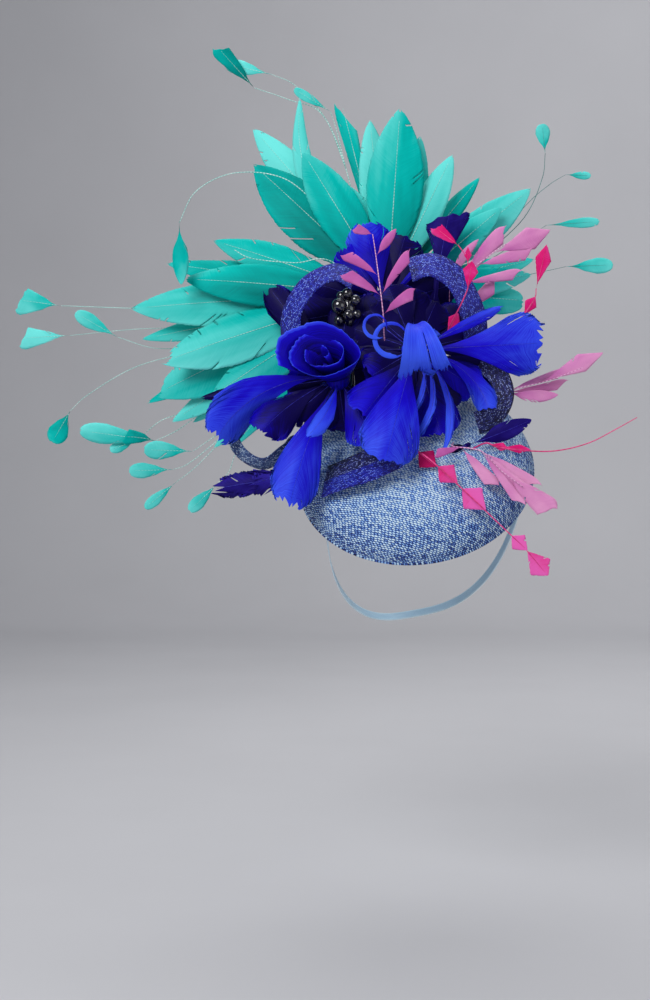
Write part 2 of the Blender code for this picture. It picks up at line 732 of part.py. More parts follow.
def make_loop(name, loop, dome, groups, finish):
    place, out = dome.place(loop.foot)
    across = band_across(loop, place)
    along = (Vector(loop.knots[0]) - place).normalized()
    edge = across * loop.width / 2
    face = along.cross(across) * STRAW_WALL / 2
    corners = (edge + face, edge - face, -edge + face, -edge - face)
    lowest = min(dome.clearance(place + corner) for corner in corners)
    foot = place + dome.up * (SEAT_GAP / out.dot(dome.up) - lowest)
    path = smooth_path([foot, *loop.knots], 2 * len(loop.knots) + 2)
    mesh = band_mesh(path, loop)
    band = new_object(name, mesh, groups[0], finish)
    add_wall(band, STRAW_WALL)
    return band


def make_elastic(groups, finish):
    """A flat band from inside the rim on one side, round the back of the head, to the other."""
    inside = BASE_RADIUS - BASE_WALL - ELASTIC_INSET
    angle = math.radians(ELASTIC_ANGLE)
    turn = base_matrix()
    left = turn @ Vector((-inside * math.cos(angle), -inside * math.sin(angle), SEW_HEIGHT))
    right = turn @ Vector((inside * math.cos(angle), -inside * math.sin(angle), SEW_HEIGHT))
    middle = (left + right) / 2
    out = (right - left) / 2
    drop = Vector(ELASTIC_FALL).normalized() * ELASTIC_DROP
    wide = out.cross(drop).normalized()
    shape = bmesh.new()
    bmesh.ops.create_grid(shape, x_segments=1, y_segments=ELASTIC_STEPS, size=1)
    for corner in shape.verts:
        side, turned = corner.co.x, math.pi * (corner.co.y + 1) / 2
        spread = math.copysign(abs(math.cos(turned)) ** ELASTIC_SQUARE, math.cos(turned))
        place = middle - out * spread + drop * math.sin(turned)
        corner.co = place + wide * side * ELASTIC_WIDTH / 2
    band = new_object("head_elastic", mesh_from(shape, "head_elastic"), groups[0], finish)
    add_wall(band, ELASTIC_WALL)
    return band


def make_beads(dome, groups, finish):
    setting = Vector(BEAD_SETTING)
    foot = dome.seat(BEAD_FOOT, setting, STEM_FOOT_RADIUS)
    meshes = [
        stem_mesh(foot, setting, STEM_FOOT_RADIUS, STEM_RADIUS),
        ball_mesh(setting, BEAD_SETTING_RADIUS, BEAD_SIDES, BEAD_RINGS, BEAD_SETTING_TALL),
    ]
    for bead in BEADS:
        place = setting + Vector((bead.across, bead.back, bead.up))
        meshes.append(ball_mesh(place, bead.radius, BEAD_SIDES, BEAD_RINGS))
    return fuse("bead_cluster", meshes, [], groups, finish)


def build():
    clear_scene()
    scene = bpy.context.scene.collection
    parts = new_collection("fascinator", scene)
    helpers = new_collection("fused_pieces", scene)
    helpers.hide_render = True
    groups = (parts, helpers)
    finishes = {name: new_material(name) for name in FINISHES}
    base = make_base(parts, finishes["denim_straw"])
    dome = Dome(base)
    make_elastic(groups, finishes["pale_elastic"])
    for name, loop in LOOPS.items():
        make_loop(name, loop, dome, groups, finishes["blue_straw"])
    fused = [make_beads(dome, groups, finishes["black_bead"])]
    for name, plume in FANS.items():
        fused.append(make_plume(name, plume, dome, groups, finishes["turquoise_feather"]))
    for name, plume in FLOWERS.items():
        colour = "navy_feather" if name in NAVY else "royal_feather"
        fused.append(make_plume(name, plume, dome, groups, finishes[colour]))
    for name, row in QUILLS.items():
        fused.append(make_stems(name, row, dome, groups, finishes["turquoise_feather"]))
    for name, row in FRONDS.items():
        fused.append(make_stems(name, row, dome, groups, finishes["mauve_feather"]))
    for name, row in PINKS.items():
        fused.append(make_stems(name, row, dome, groups, finishes["pink_feather"]))
    for body, pieces in fused:
        join_pieces(body, pieces)


build()
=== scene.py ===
import math
import random
from collections import namedtuple

import bmesh
import bpy
from mathutils import Matrix, Quaternion, Vector


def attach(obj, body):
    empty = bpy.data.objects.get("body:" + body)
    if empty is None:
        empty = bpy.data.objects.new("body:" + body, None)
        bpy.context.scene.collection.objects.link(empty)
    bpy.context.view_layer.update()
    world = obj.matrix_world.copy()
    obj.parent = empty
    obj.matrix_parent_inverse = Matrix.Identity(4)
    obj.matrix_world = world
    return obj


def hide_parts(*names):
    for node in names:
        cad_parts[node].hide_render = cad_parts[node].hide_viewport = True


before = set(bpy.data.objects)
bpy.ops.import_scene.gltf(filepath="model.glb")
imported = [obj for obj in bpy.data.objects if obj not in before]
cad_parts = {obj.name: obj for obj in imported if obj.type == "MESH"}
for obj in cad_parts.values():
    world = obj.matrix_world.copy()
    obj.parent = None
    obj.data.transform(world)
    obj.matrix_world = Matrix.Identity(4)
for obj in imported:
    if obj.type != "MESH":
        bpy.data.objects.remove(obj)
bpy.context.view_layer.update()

# Tables and shapes are in millimetres, and a finished piece is in metres.
# +X is to the right as seen from the front, -Y to the front and +Z up, from the middle of the rim.
mm = 0.001
front = Vector((0, -1, 0))

view = {
    "pixel": 0.88,            # mm that a pixel of the picture covers at the rim
    "distance": 1250,         # mm from the camera to the rim
    "middle": (-79.2, -24.6),  # across and up, mm
    "frame": (650, 1000),     # pixels
    "sensor": 36,
}

studio = {
    "floorLevel": -400,       # mm below the rim
    "floorColour": (206, 206, 210),
    "wallFrom": 2700,         # mm behind the rim, where the floor starts to curve up
    "curve": 900,
    "reach": 3500,            # mm of floor in front of the rim, and of wall above the curve
    "wide": 16000,
    "ambient": 0.26,
    "sky": (0.86, 0.88, 0.93, 1),
}

# place and target in mm, size in m, power in W
lamps = {
    "keyLamp": ((-900, -1500, 1100), (-60, 0, 120), 1.1, 27),
    "fillLamp": ((1300, -1300, 300), (-60, 0, 80), 1.5, 6),
    "topLamp": ((-100, 300, 1600), (-60, 0, 100), 1.2, 10),
    "wallLamp": ((1100, 1400, 1700), (900, 3600, -300), 3.0, 30),
}


def placeCamera():
    lens = bpy.data.cameras.new("camera")
    lens.sensor_fit = "VERTICAL"
    lens.sensor_height = view["sensor"]
    lens.lens = view["sensor"] * view["distance"] / (view["frame"][1] * view["pixel"])
    camera = bpy.data.objects.new("camera", lens)
    across, up = view["middle"]
    camera.location = Vector((across, -view["distance"], up)) * mm
    camera.rotation_euler = (math.radians(90), 0, 0)
    bpy.context.scene.collection.objects.link(camera)
    bpy.context.scene.camera = camera


def placeLamps():
    for name, (place, target, size, power) in lamps.items():
        light = bpy.data.lights.new(name, "AREA")
        light.shape = "DISK"
        light.size = size
        light.energy = power
        lamp = bpy.data.objects.new(name, light)
        lamp.location = Vector(place) * mm
        lamp.rotation_euler = (Vector(target) - Vector(place)).to_track_quat("-Z", "Y").to_euler()
        bpy.context.scene.collection.objects.link(lamp)
    world = bpy.data.worlds.new("studio")
    bpy.context.scene.world = world
    world.use_nodes = True
    sky = world.node_tree.nodes["Background"]
    sky.inputs["Color"].default_value = studio["sky"]
    sky.inputs["Strength"].default_value = studio["ambient"]
    bpy.context.scene.view_settings.view_transform = "Standard"


def fromScreen(red, green, blue):
    # a colour as a screen shows it, from 0 to 255, as the light that it stands for
    shares = [value / 255 for value in (red, green, blue)]
    return (*[s / 12.92 if s < 0.04 else ((s + 0.055) / 1.055) ** 2.4 for s in shares], 1)


# Shader maths
class Link:
    # a socket that works in sums
    def __init__(self, look, socket):
        self.look, self.socket = look, socket

    def maths(self, operation, *values):
        return self.look.node("ShaderNodeMath", {"operation": operation}, dict(enumerate(values)))

    def __add__(self, other):
        return self.maths("ADD", self, other)

    def __mul__(self, other):
        return self.maths("MULTIPLY", self, other)

    def __sub__(self, other):
        return self.maths("SUBTRACT", self, other)

    def __rsub__(self, other):
        return self.maths("SUBTRACT", other, self)

    def __truediv__(self, other):
        return self.maths("DIVIDE", self, other)

    def __pow__(self, other):
        return self.maths("POWER", self, other)

    __radd__ = __add__
    __rmul__ = __mul__

    def floor(self):
        return self.maths("FLOOR", self)

    def fract(self):
        return self.maths("FRACT", self)

    def sine(self):
        return self.maths("SINE", self)

    def wave(self):
        # from 0 to 1 and back
        return self.sine() * 0.5 + 0.5


class Look:
    # one material and the nodes that it is made of
    def __init__(self, name):
        self.material = bpy.data.materials.new(name)
        self.material.use_nodes = True
        self.tree = self.material.node_tree
        self.shader = self.tree.nodes["Principled BSDF"]

    def feed(self, socket, value):
        if isinstance(value, Link):
            self.tree.links.new(value.socket, socket)
        else:
            socket.default_value = value

    def node(self, kind, settings, values, out=0):
        made = self.tree.nodes.new(kind)
        for name, value in settings.items():
            if name == "stops":
                stops = made.color_ramp.elements
                for number, (place, colour) in enumerate(value):
                    stop = stops[number] if number < len(stops) else stops.new(place)
                    stop.position, stop.color = place, colour
            else:
                setattr(made, name, value)
        for socket, value in values.items():
            self.feed(made.inputs[socket], value)
        return Link(self, made.outputs[out])

    def attribute(self, name):
        whole = self.node("ShaderNodeAttribute", {"attribute_name": name}, {}, "Vector")
        return [self.node("ShaderNodeSeparateXYZ", {}, {0: whole}, axis) for axis in range(3)]

    def combine(self, *values):
        return self.node("ShaderNodeCombineXYZ", {}, dict(enumerate(values)))

    def noise(self, place, scale=1, detail=2, rough=0.5):
        values = {"Vector": place, "Scale": scale, "Detail": detail, "Roughness": rough}
        return self.node("ShaderNodeTexNoise", {}, values)

    def scatter(self, *place):
        values = {"Vector": self.combine(*place)}
        return self.node("ShaderNodeTexWhiteNoise", {"noise_dimensions": "3D"}, values)

    def ramp(self, factor, stops):
        stops = [(place, fromScreen(*colour)) for place, colour in stops]
        return self.node("ShaderNodeValToRGB", {"stops": stops}, {0: factor})

    def mix(self, factor, first, second):
        values = {0: factor, 6: first, 7: second}
        return self.node("ShaderNodeMix", {"data_type": "RGBA"}, values, 2)

    def relief(self, height, strength, depth):
        values = {"Height": height, "Strength": strength, "Distance": depth * mm}
        return self.node("ShaderNodeBump", {}, values)

    def wear(self, **values):
        for name, value in values.items():
            self.feed(self.shader.inputs[name.replace("_", " ")], value)
        return self.material


def featherLook(name, dye):
    look = Look(name)
    line, along, seed = look.attribute("strand")   # mm across the barbs, mm along them, its number
    tone, reach, far = look.attribute("place")     # pale or dark, with painted shade in it, from the quill, from the root
    fine = look.noise(look.combine(line / dye["lineEvery"], along / 26, seed * 7), 1, 3, 0.65)
    broad = look.noise(look.combine(far * 2.6, along / 13, seed * 3), 1, 2)
    light = 0.5 + tone * 0.5 + (fine - 0.5) * dye["contrast"] + (broad - 0.5) * dye["cloud"]
    # painted shade at the roots with paler tips, and a painted highlight along the edges
    light = light + (far - 0.55) * dye["rootShadeTipPale"] + reach ** 8 * dye["edgeHighlight"]
    colour = look.ramp(light, [(0, dye["dark"]), (0.5, dye["middle"]), (1, dye["pale"])])
    return look.wear(
        Base_Color=colour,
        Roughness=dye["rough"] + (fine - 0.5) * 0.3,
        Normal=look.relief(fine, dye["relief"], 0.5),
        Specular_IOR_Level=dye["gloss"],
    )


def quillLook(name, dye):
    look = Look(name)
    _, along, seed = look.attribute("strand")
    beat = (along * (2 * math.pi / dye["beatEvery"])).wave()
    patch = look.noise(look.combine(along / 18, seed * 5, 0), 1, 2)
    shade = beat * dye["beat"] + (patch - 0.35) * 1.4
    colour = look.ramp(shade, [(0, dye["dark"]), (0.45, dye["middle"]), (1, dye["pale"])])
    return look.wear(
        Base_Color=colour,
        Roughness=0.4 + patch * 0.2,
        Normal=look.relief(beat, 0.3, 0.3),
    )


def plumageLooks(name, dye, quill):
    return [featherLook(name + "Vane", dye), quillLook(name + "Quill", quill)]


def strawLook(name, weave):
    look = Look(name)
    first, second, fade = look.attribute("weave")   # mm along, mm across, and painted light: a highlight over the middle, painted shade towards the edge
    turn = math.radians(weave["turn"])
    drift = look.noise(look.combine(first / 22, second / 22, 0), 1, 2) * weave["drift"]
    along = first * math.cos(turn) + second * math.sin(turn)
    across = second * math.cos(turn) - first * math.sin(turn) + drift
    rows = across / weave["rowEvery"]
    number, inRow = rows.floor(), rows.fract()
    stagger = look.scatter(number, 7, 1) * 3
    stitch = along / weave["stitchEvery"] + stagger + inRow * weave["slope"]
    cell, inCell = stitch.floor(), stitch.fract()
    straw = (inCell * math.pi).sine() ** 0.6 * (inRow * math.pi).sine() ** 0.8
    chance = look.scatter(cell, number, 3)
    dull, bright = weave["range"]
    # painted light: the middle of a piece is made lighter and its edge darker
    light = straw * (dull + chance * (bright - dull)) + fade * weave["fade"] - 0.06
    colour = look.ramp(light, [
        (0, weave["gap"]), (0.32, weave["deep"]), (0.62, weave["straw"]), (1, weave["shine"]),
    ])
    return look.wear(
        Base_Color=colour,
        Roughness=0.62 - straw * 0.25,
        Normal=look.relief(straw, weave["relief"], 0.7),
        Specular_IOR_Level=0.45,
    )


# Weaves, dyes and styles of feather, with colours as a screen shows them
denimWeave = {
    "turn": -28,          # degrees that the rows are turned
    "drift": 3.2,         # mm that they wander
    "rowEvery": 1.75,     # mm
    "stitchEvery": 3.2,   # mm
    "slope": 0.5,         # how much a straw leans in its row
    "range": (0.6, 1.8),  # how light the dullest and the brightest straws are
    "relief": 0.9,
    # painted light: how much lighter the middle of a piece is, and darker its edge
    "fade": 0.36,
    "gap": (8, 18, 76),
    "deep": (46, 92, 188),
    "straw": (146, 196, 254),
    "shine": (218, 242, 255),
}
blueWeave = {
    "turn": 42, "drift": 0.5, "rowEvery": 1.2, "stitchEvery": 2.0, "slope": 0.5, "range": (0.1, 1.15),
    # painted light: how much lighter the middle of a piece is, and darker its edge
    "relief": 0.9, "fade": 0.3,
    "gap": (10, 4, 110), "deep": (16, 18, 172), "straw": (50, 74, 234), "shine": (156, 188, 255),
}
deepWeave = {
    **blueWeave, "turn": 35, "rowEvery": 1.3, "stitchEvery": 1.9, "range": (0.0, 1.2),
    "gap": (8, 6, 56), "deep": (22, 22, 104), "straw": (48, 62, 172), "shine": (186, 204, 246),
}
steelWeave = {
    **deepWeave, "range": (0.2, 1.3),
    "gap": (20, 40, 104), "deep": (44, 78, 146), "straw": (108, 150, 196), "shine": (220, 236, 250),
}

turquoiseDye = {
    "dark": (0, 112, 108),
    "middle": (0, 186, 178),
    "pale": (112, 228, 222),
    "lineEvery": 0.8,   # mm between the fine lines
    "contrast": 0.26,
    "cloud": 0.5,
    # the next two: paler tips with painted shade at the roots, and a painted highlight along the edges
    "rootShadeTipPale": 0.5,
    "edgeHighlight": 0.1,
    "rough": 0.5,
    "relief": 0.12,
    "gloss": 0.04,
}
royalDye = {
    "dark": (12, 3, 72), "middle": (24, 6, 206), "pale": (62, 96, 250),
    "lineEvery": 0.9, "contrast": 0.85, "cloud": 0.55, "rootShadeTipPale": 0.6, "edgeHighlight": 0.3,
    "rough": 0.42, "relief": 0.3, "gloss": 0.08,
}
navyDye = {
    "dark": (6, 2, 44), "middle": (24, 8, 104), "pale": (60, 48, 176),
    "lineEvery": 0.7, "contrast": 0.5, "cloud": 0.6, "rootShadeTipPale": 0.1, "edgeHighlight": 0.1,
    "rough": 0.5, "relief": 0.3, "gloss": 0.06,
}
mauveDye = {
    "dark": (142, 58, 128), "middle": (196, 100, 174), "pale": (238, 168, 210),
    "lineEvery": 0.9, "contrast": 0.3, "cloud": 0.45, "rootShadeTipPale": 0.2, "edgeHighlight": 0.08,
    "rough": 0.65, "relief": 0.2, "gloss": 0.05,
}
pinkDye = {
    "dark": (158, 6, 78), "middle": (224, 24, 116), "pale": (236, 100, 186),
    "lineEvery": 0.9, "contrast": 0.45, "cloud": 0.6, "rootShadeTipPale": 0.15, "edgeHighlight": 0.1,
    "rough": 0.5, "relief": 0.25, "gloss": 0.08,
}

turquoiseQuill = {
    "dark": (70, 160, 150), "middle": (150, 224, 212), "pale": (238, 252, 248),
    "beatEvery": 3.0, "beat": 0.6,
}
dimQuill = {
    "dark": (50, 104, 104), "middle": (84, 140, 138), "pale": (130, 176, 172),
    "beatEvery": 3.0, "beat": 0.3,
}
royalQuill = {
    "dark": (18, 8, 96), "middle": (40, 34, 190), "pale": (92, 110, 236),
    "beatEvery": 6.0, "beat": 0.3,
}
mauveQuill = {
    "dark": (150, 70, 130), "middle": (222, 150, 200), "pale": (248, 216, 236),
    "beatEvery": 3.2, "beat": 0.5,
}
pinkQuill = {
    "dark": (190, 24, 96), "middle": (238, 66, 142), "pale": (252, 140, 196),
    "beatEvery": 5.0, "beat": 0.15,
}

# slant: how far forward the barbs run, as a share of the feather. slits: the chance of one after a
# barb, and how far out it starts. shift and lift: mm that a tuft strays. fray: how much shorter the
# shortest barb is. wave: mm that the edge ripples. The share by which one half of a vane is darker
# than the other is painted shade. Quill, proud, stem and wall in mm.
fanStyle = {
    "barbEvery": 1.7, "slant": 0.3, "slits": 0.02, "slitFrom": (0.45, 0.9),
    "shift": 1.6, "lift": 0.6, "fray": 0.035, "cup": 0.22, "wave": 1.2, "halfShade": 0.28,
    "quill": 0.42, "proud": 0.1, "wall": 0.25,
}
petalStyle = {
    "barbEvery": 1.7, "slant": 0.82, "slits": 0.03, "slitFrom": (0.4, 0.9),
    "shift": 1.2, "lift": 0.8, "fray": 0.09, "cup": 0.34, "wave": 3.2, "halfShade": 0.3,
    "hairEvery": 0.9, "ridge": 0.12,
    "quill": 0.26, "proud": 0.1, "wall": 0.25,
}
raggedStyle = {
    "barbEvery": 2.0, "slant": 0.5, "slits": 0.12, "slitFrom": (0.3, 0.8),
    "shift": 4.0, "lift": 2.5, "fray": 0.35, "cup": 0.5, "wave": 12.0, "halfShade": 0.3,
    "quill": 0.5, "proud": 0.1, "wall": 0.25,
}
leafStyle = {
    "barbEvery": 1.6, "slant": 0.4, "slits": 0.02, "slitFrom": (0.4, 0.8),
    "shift": 0.6, "lift": 0.3, "fray": 0.04, "cup": 0.2, "wave": 0.8, "halfShade": 0.2,
    "quill": 0.24, "proud": 0.05, "stem": 0.42, "wall": 0.22,
}
frondStyle = {
    **leafStyle, "barbEvery": 1.8, "slant": 0.3, "slits": 0.01, "slitFrom": (0.5, 0.9),
    "fray": 0.03, "cup": 0.15, "quill": 0, "stem": 0.55,
}
flagStyle = {
    **leafStyle, "barbEvery": 1.3, "slant": 0.2, "slits": 0.03, "slitFrom": (0.6, 0.95),
    "lift": 0.2, "fray": 0.08, "cup": 0.08, "wave": 0.3, "quill": 0.45, "proud": 0.1, "stem": 0.62,
}

# how much paler than the dye the leaves of a frond are; the top frond's darker tone is painted shade
frondTonesAndShade = {
    "mauve_frond_top": -0.15,
    "mauve_frond_upper_right": 0.35,
    "mauve_frond_right": 0.4,
    "mauve_frond_low": 0.6,
    "pink_quill_front": 0.2,
}

base = {
    "radius": 103,
    "height": 46,
    "wall": 2.2,
    "rimBead": 2.0,
    "rimOut": 0.1,
    "steps": 120,
    "domeRows": 18,
    "tipForward": 48,   # degrees
    "tipLeft": 10.7,
}


# The base, and places on it
baseTurn = (
    Matrix.Rotation(math.radians(-base["tipLeft"]), 4, "Y")
    @ Matrix.Rotation(math.radians(base["tipForward"]), 4, "X")
)
baseUp = (baseTurn.to_3x3() @ Vector((0, 0, 1))).normalized()


def domeHeight(x, y):
    return base["height"] * math.sqrt(max(1 - (x * x + y * y) / base["radius"] ** 2, 0))


def domePlace(foot):
    # the point of the dome over a foot, and the way that the dome faces there
    x, y = foot
    height = domeHeight(x, y)
    out = Vector((x / base["radius"] ** 2, y / base["radius"] ** 2, height / base["height"] ** 2))
    return baseTurn @ Vector((x, y, height)), (baseTurn.to_3x3() @ out).normalized()


def aboveDome(point):
    inside = baseTurn.inverted() @ point
    return inside.z - domeHeight(inside.x, inside.y)


def domeArc(radius):
    # how far it is from the top of the dome, along its curve, to a distance from its middle
    steps = 16
    end = math.asin(min(radius / base["radius"], 1))
    total = 0
    for step in range(steps):
        angle = end * (step + 0.5) / steps
        total += math.hypot(base["radius"] * math.cos(angle), base["height"] * math.sin(angle)) * end / steps
    return total


# Meshes
def newShape():
    # a mesh to draw in, with what the materials read from its corners
    shape = bmesh.new()
    for name in ("strand", "place", "weave", "out"):
        shape.verts.layers.float_vector.new(name)
    return shape


def tell(shape, corner, **notes):
    for name, values in notes.items():
        corner[shape.verts.layers.float_vector[name]] = Vector(values)


def newPiece(name, shape, looks):
    bmesh.ops.recalc_face_normals(shape, faces=shape.faces)
    bmesh.ops.scale(shape, vec=(mm, mm, mm), verts=shape.verts)
    shape.verts.layers.float_vector.remove(shape.verts.layers.float_vector["out"])
    mesh = bpy.data.meshes.new(name)
    shape.to_mesh(mesh)
    shape.free()
    for look in looks:
        mesh.materials.append(look)
    mesh.shade_smooth()
    piece = bpy.data.objects.new(name, mesh)
    bpy.context.scene.collection.objects.link(piece)
    return piece


def handIn(name, shape, looks, slot, *nodes):
    piece = newPiece(name, shape, looks)
    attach(piece, "root")
    if nodes:
        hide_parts(*nodes)
    return piece


def pieceName(node):
    first, *others = node.split("_")
    return first + "".join(word.capitalize() for word in others)


def lengthsAlong(path):
    # how far along the path each of its points lies
    far = [0]
    for first, second in zip(path, path[1:]):
        far.append(far[-1] + (second - first).length)
    return far


def curveThrough(a, b, c, d, t):
    return 0.5 * (
        2 * b + (c - a) * t + (2 * a - 5 * b + 4 * c - d) * t ** 2 + (3 * b - a - 3 * c + d) * t ** 3
    )


def smoothPath(knots, steps):
    knots = [Vector(knot) for knot in knots]
    padded = [2 * knots[0] - knots[1], *knots, 2 * knots[-1] - knots[-2]]
    spans = len(knots) - 1
    points = []
    for step in range(steps + 1):
        place = spans * step / steps
        span = min(int(place), spans - 1)
        points.append(curveThrough(*padded[span:span + 4], place - span))
    return points


def startFrame(clock, lean, roll):
    clock, lean = math.radians(clock), math.radians(lean)
    along = Vector((math.cos(lean) * math.cos(clock), math.sin(lean), math.cos(lean) * math.sin(clock)))
    face = (front - front.dot(along) * along).normalized()
    face.rotate(Quaternion(along, math.radians(roll)))
    return along, along.cross(face), face


class Shaft:
    # the curve of a feather's quill, with the way across the feather and the way that it faces
    def __init__(self, start, row, steps):
        along, across, face = startFrame(row.clock, row.lean, row.roll)
        point = Vector(start)
        self.steps = steps
        points, self.turns = [point.copy()], [(across.copy(), face.copy())]
        for step in range(steps):
            share = (2 * step + 1) / steps ** 2
            turn = Quaternion(across, math.radians(row.curl * share))
            turn = Quaternion(face, math.radians(row.sweep / steps)) @ turn
            for axis in (along, across, face):
                axis.rotate(turn)
            point += along * row.length / steps
            points.append(point.copy())
            self.turns.append((across.copy(), face.copy()))
        self.points = [2 * points[0] - points[1], *points, 2 * points[-1] - points[-2]]

    def at(self, t):
        place = min(max(t, 0), 1) * self.steps
        span = min(int(place), self.steps - 1)
        part = place - span
        point = curveThrough(*self.points[span:span + 4], part)
        (across, face), (nextAcross, nextFace) = self.turns[span:span + 2]
        return point, across.lerp(nextAcross, part).normalized(), face.lerp(nextFace, part).normalized()


# Where a feather is widest, two powers for its edge from there to the tip, how blunt the tip is, the
# power of its edge from the root (0 for a leaf's round one), and how much shorter one side is (below
# 0 for the other side)
tipShapes = {
    "pointed": (0.58, 2.0, 0.85, 0, 0, 0),
    "blade": (0.66, 1.6, 0.8, 0.04, 0, 0.06),
    "round": (0.68, 2.4, 0.5, 0.4, 0, 0.03),
    "square": (0.72, 4.0, 0.5, 0.6, 0.9, 0.04),
    "strip": (0.8, 3.0, 0.8, 0.5, 0.55, 0.2),
    "kite": (0.66, 1.0, 1.0, 0.05, 1.0, 0.03),
    "diamond": (0.5, 1.0, 1.0, 0, 1.0, 0),
    "paddle": (0.84, 4.0, 0.5, 0.7, 0.9, 0.2),
    "drop": (0.66, 2.6, 0.5, 0.25, 0.75, 0),
    "fringe": (0.95, 4.0, 0.5, 0.9, 1.5, 0),
    "cut": (0.85, 9.0, 0.5, 0.85, 0.45, -0.14),
    "slant": (0.85, 9.0, 0.5, 0.85, 0.16, -0.27),
}
bareQuill = 0.1    # the share of a feather that has no vane
leastHalf = 0.35   # mm, half the width of a vane where it starts and ends
footDepth = 0.4    # mm that a post or a quill stands in the straw
seedSpan = 97      # the materials tell this many feathers apart


def spreadAt(row, t):
    # half the width that the barbs open to, before the tip rounds it off
    widest, _, _, _, rise, _ = tipShapes[row.tip]
    share = min(max(t - bareQuill, 0) / (widest - bareQuill), 1)
    spread = share ** rise if rise else math.sin(math.pi / 2 * share)
    return max(row.width / 2 * spread, leastHalf)


def halfWidth(row, t):
    widest, fall, roundOff, blunt, _, _ = tipShapes[row.tip]
    if t <= widest:
        return spreadAt(row, t)
    left = max(1 - (min((t - widest) / (1 - widest), 1)) ** fall, 0)
    return max(row.width / 2 * max(left ** roundOff, blunt), leastHalf)


def strandEnd(row, reach):
    # how far along the feather its edge crosses a strand
    widest, fall, roundOff, blunt, _, _ = tipShapes[row.tip]
    if reach <= blunt:
        return 1
    return widest + (1 - widest) * max(1 - reach ** (1 / roundOff), 0) ** (1 / fall)


def tuftsOf(count, style, dice):
    # for each barb: how its tuft is shifted and lifted, how short it is, and where a slit after it starts
    tufts, shift, lift = [], 0, 0
    for _ in range(count + 1):
        opens = 2
        if dice.random() < style["slits"]:
            opens = dice.uniform(*style["slitFrom"])
            shift, lift = dice.gauss(0, style["shift"]), dice.gauss(0, style["lift"])
        tufts.append((shift, lift, dice.random(), opens))
    return tufts


def newGrid(shape, columns, rows):
    # the corners of a flat grid, each with its column and its row
    made = bmesh.ops.create_grid(shape, x_segments=columns, y_segments=rows, size=1)["verts"]
    return {c: (round((c.co.x + 1) / 2 * columns), round((c.co.y + 1) / 2 * rows)) for c in made}


def facesOf(corners):
    return list(dict.fromkeys(face for corner in corners for face in corner.link_faces))


def openSlits(shape, spots, isSlit):
    gone = []
    for face in facesOf(spots):
        columns, rows = zip(*[spots[corner] for corner in face.verts])
        if isSlit(min(columns), min(rows)):
            gone.append(face)
    bmesh.ops.delete(shape, geom=gone, context="FACES")


def satinVane(shape, shaft, row, style, seed):
    # barbs slant out from the quill on both sides and lie close together
    dice = random.Random(seed)
    half = max(3, min(8, round(row.width / 6)))   # corners along a barb
    rows = max(10, round(row.length / style["barbEvery"]))
    tufts = {side: tuftsOf(rows, style, dice) for side in (False, True)}
    # painted shade: one half of the vane is darker than the other, as if turned from the light
    halfShade = dice.uniform(-1, 1) * style["halfShade"]
    notches = [dice.random() * style["fray"] * 0.7 for _ in range(2 * half + 1)]
    skew = tipShapes[row.tip][5]
    spots = newGrid(shape, 2 * half, rows)
    places = {}
    for corner, (column, number) in spots.items():
        side, start = column / half - 1, number / rows
        reach = abs(side)
        shift, lift, short, _ = tufts[side > 0][number]
        loose = max((reach - 0.25) / 0.75, 0) ** 2   # only the outer part of a barb strays
        slanted = start + style["slant"] * reach * (1 - start)
        slanted *= 1 - (abs(skew) + skew * side) / 2 - notches[column] * start ** 8
        t = min(slanted + shift * loose / row.length, 1)
        point, across, face = shaft.at(t)
        wide = halfWidth(row, t) * (1 - style["fray"] * short * loose)
        ripple = style["wave"] * math.sin(11 * t + side + seed) * reach ** 2 * min(row.width / 40, 1)
        rise = (lift * loose + ripple) * min(1, 4 * (1 - t), 4 * t) - style["cup"] * wide * reach ** 1.5
        places[corner] = point + across * side * wide + face * rise
        strand = (start * row.length + side * 3, side * wide, seed % seedSpan)
        tell(shape, corner, strand=strand, place=(row.tone + side * halfShade, reach, t))
    for corner, place in places.items():
        corner.co = place

    def isSlit(column, number):
        middle = (column + 0.5) / half - 1
        return abs(middle) > tufts[middle > 0][number][3]

    openSlits(shape, spots, isSlit)


def hairVane(shape, shaft, row, style, seed):
    # barbs run along the feather, each with its own end
    dice = random.Random(seed)
    columns = max(6, round(row.width / style["hairEvery"]))
    rows = max(10, round(row.length / 7))
    tufts = tuftsOf(columns, style, dice)
    ends = []
    for number in range(columns + 1):
        reach = abs(2 * number / columns - 1)
        ends.append(strandEnd(row, reach) * (1 - style["fray"] * dice.random() ** 2))
    spots = newGrid(shape, columns, rows)
    for corner, (column, number) in spots.items():
        side, far = 2 * column / columns - 1, number / rows
        shift, lift, short, _ = tufts[column]
        t = far * ends[column]
        point, across, face = shaft.at(t)
        wide, loose = spreadAt(row, t), far ** 3
        ridge = style["ridge"] * (column % 2 - 0.5) * min(4 * far, 1)
        sag = style["cup"] * wide * abs(side) ** 1.5
        corner.co = point + across * (side * wide + shift * loose) + face * (lift * loose + ridge - sag)
        strand = (side * row.width / 2, side * row.width / 2, seed % seedSpan)
        tell(shape, corner, strand=strand, place=(row.tone + (short - 0.5) * 0.3, abs(side), t))

    def isSlit(column, number):
        return (number + 0.5) / rows > tufts[column][3]

    openSlits(shape, spots, isSlit)


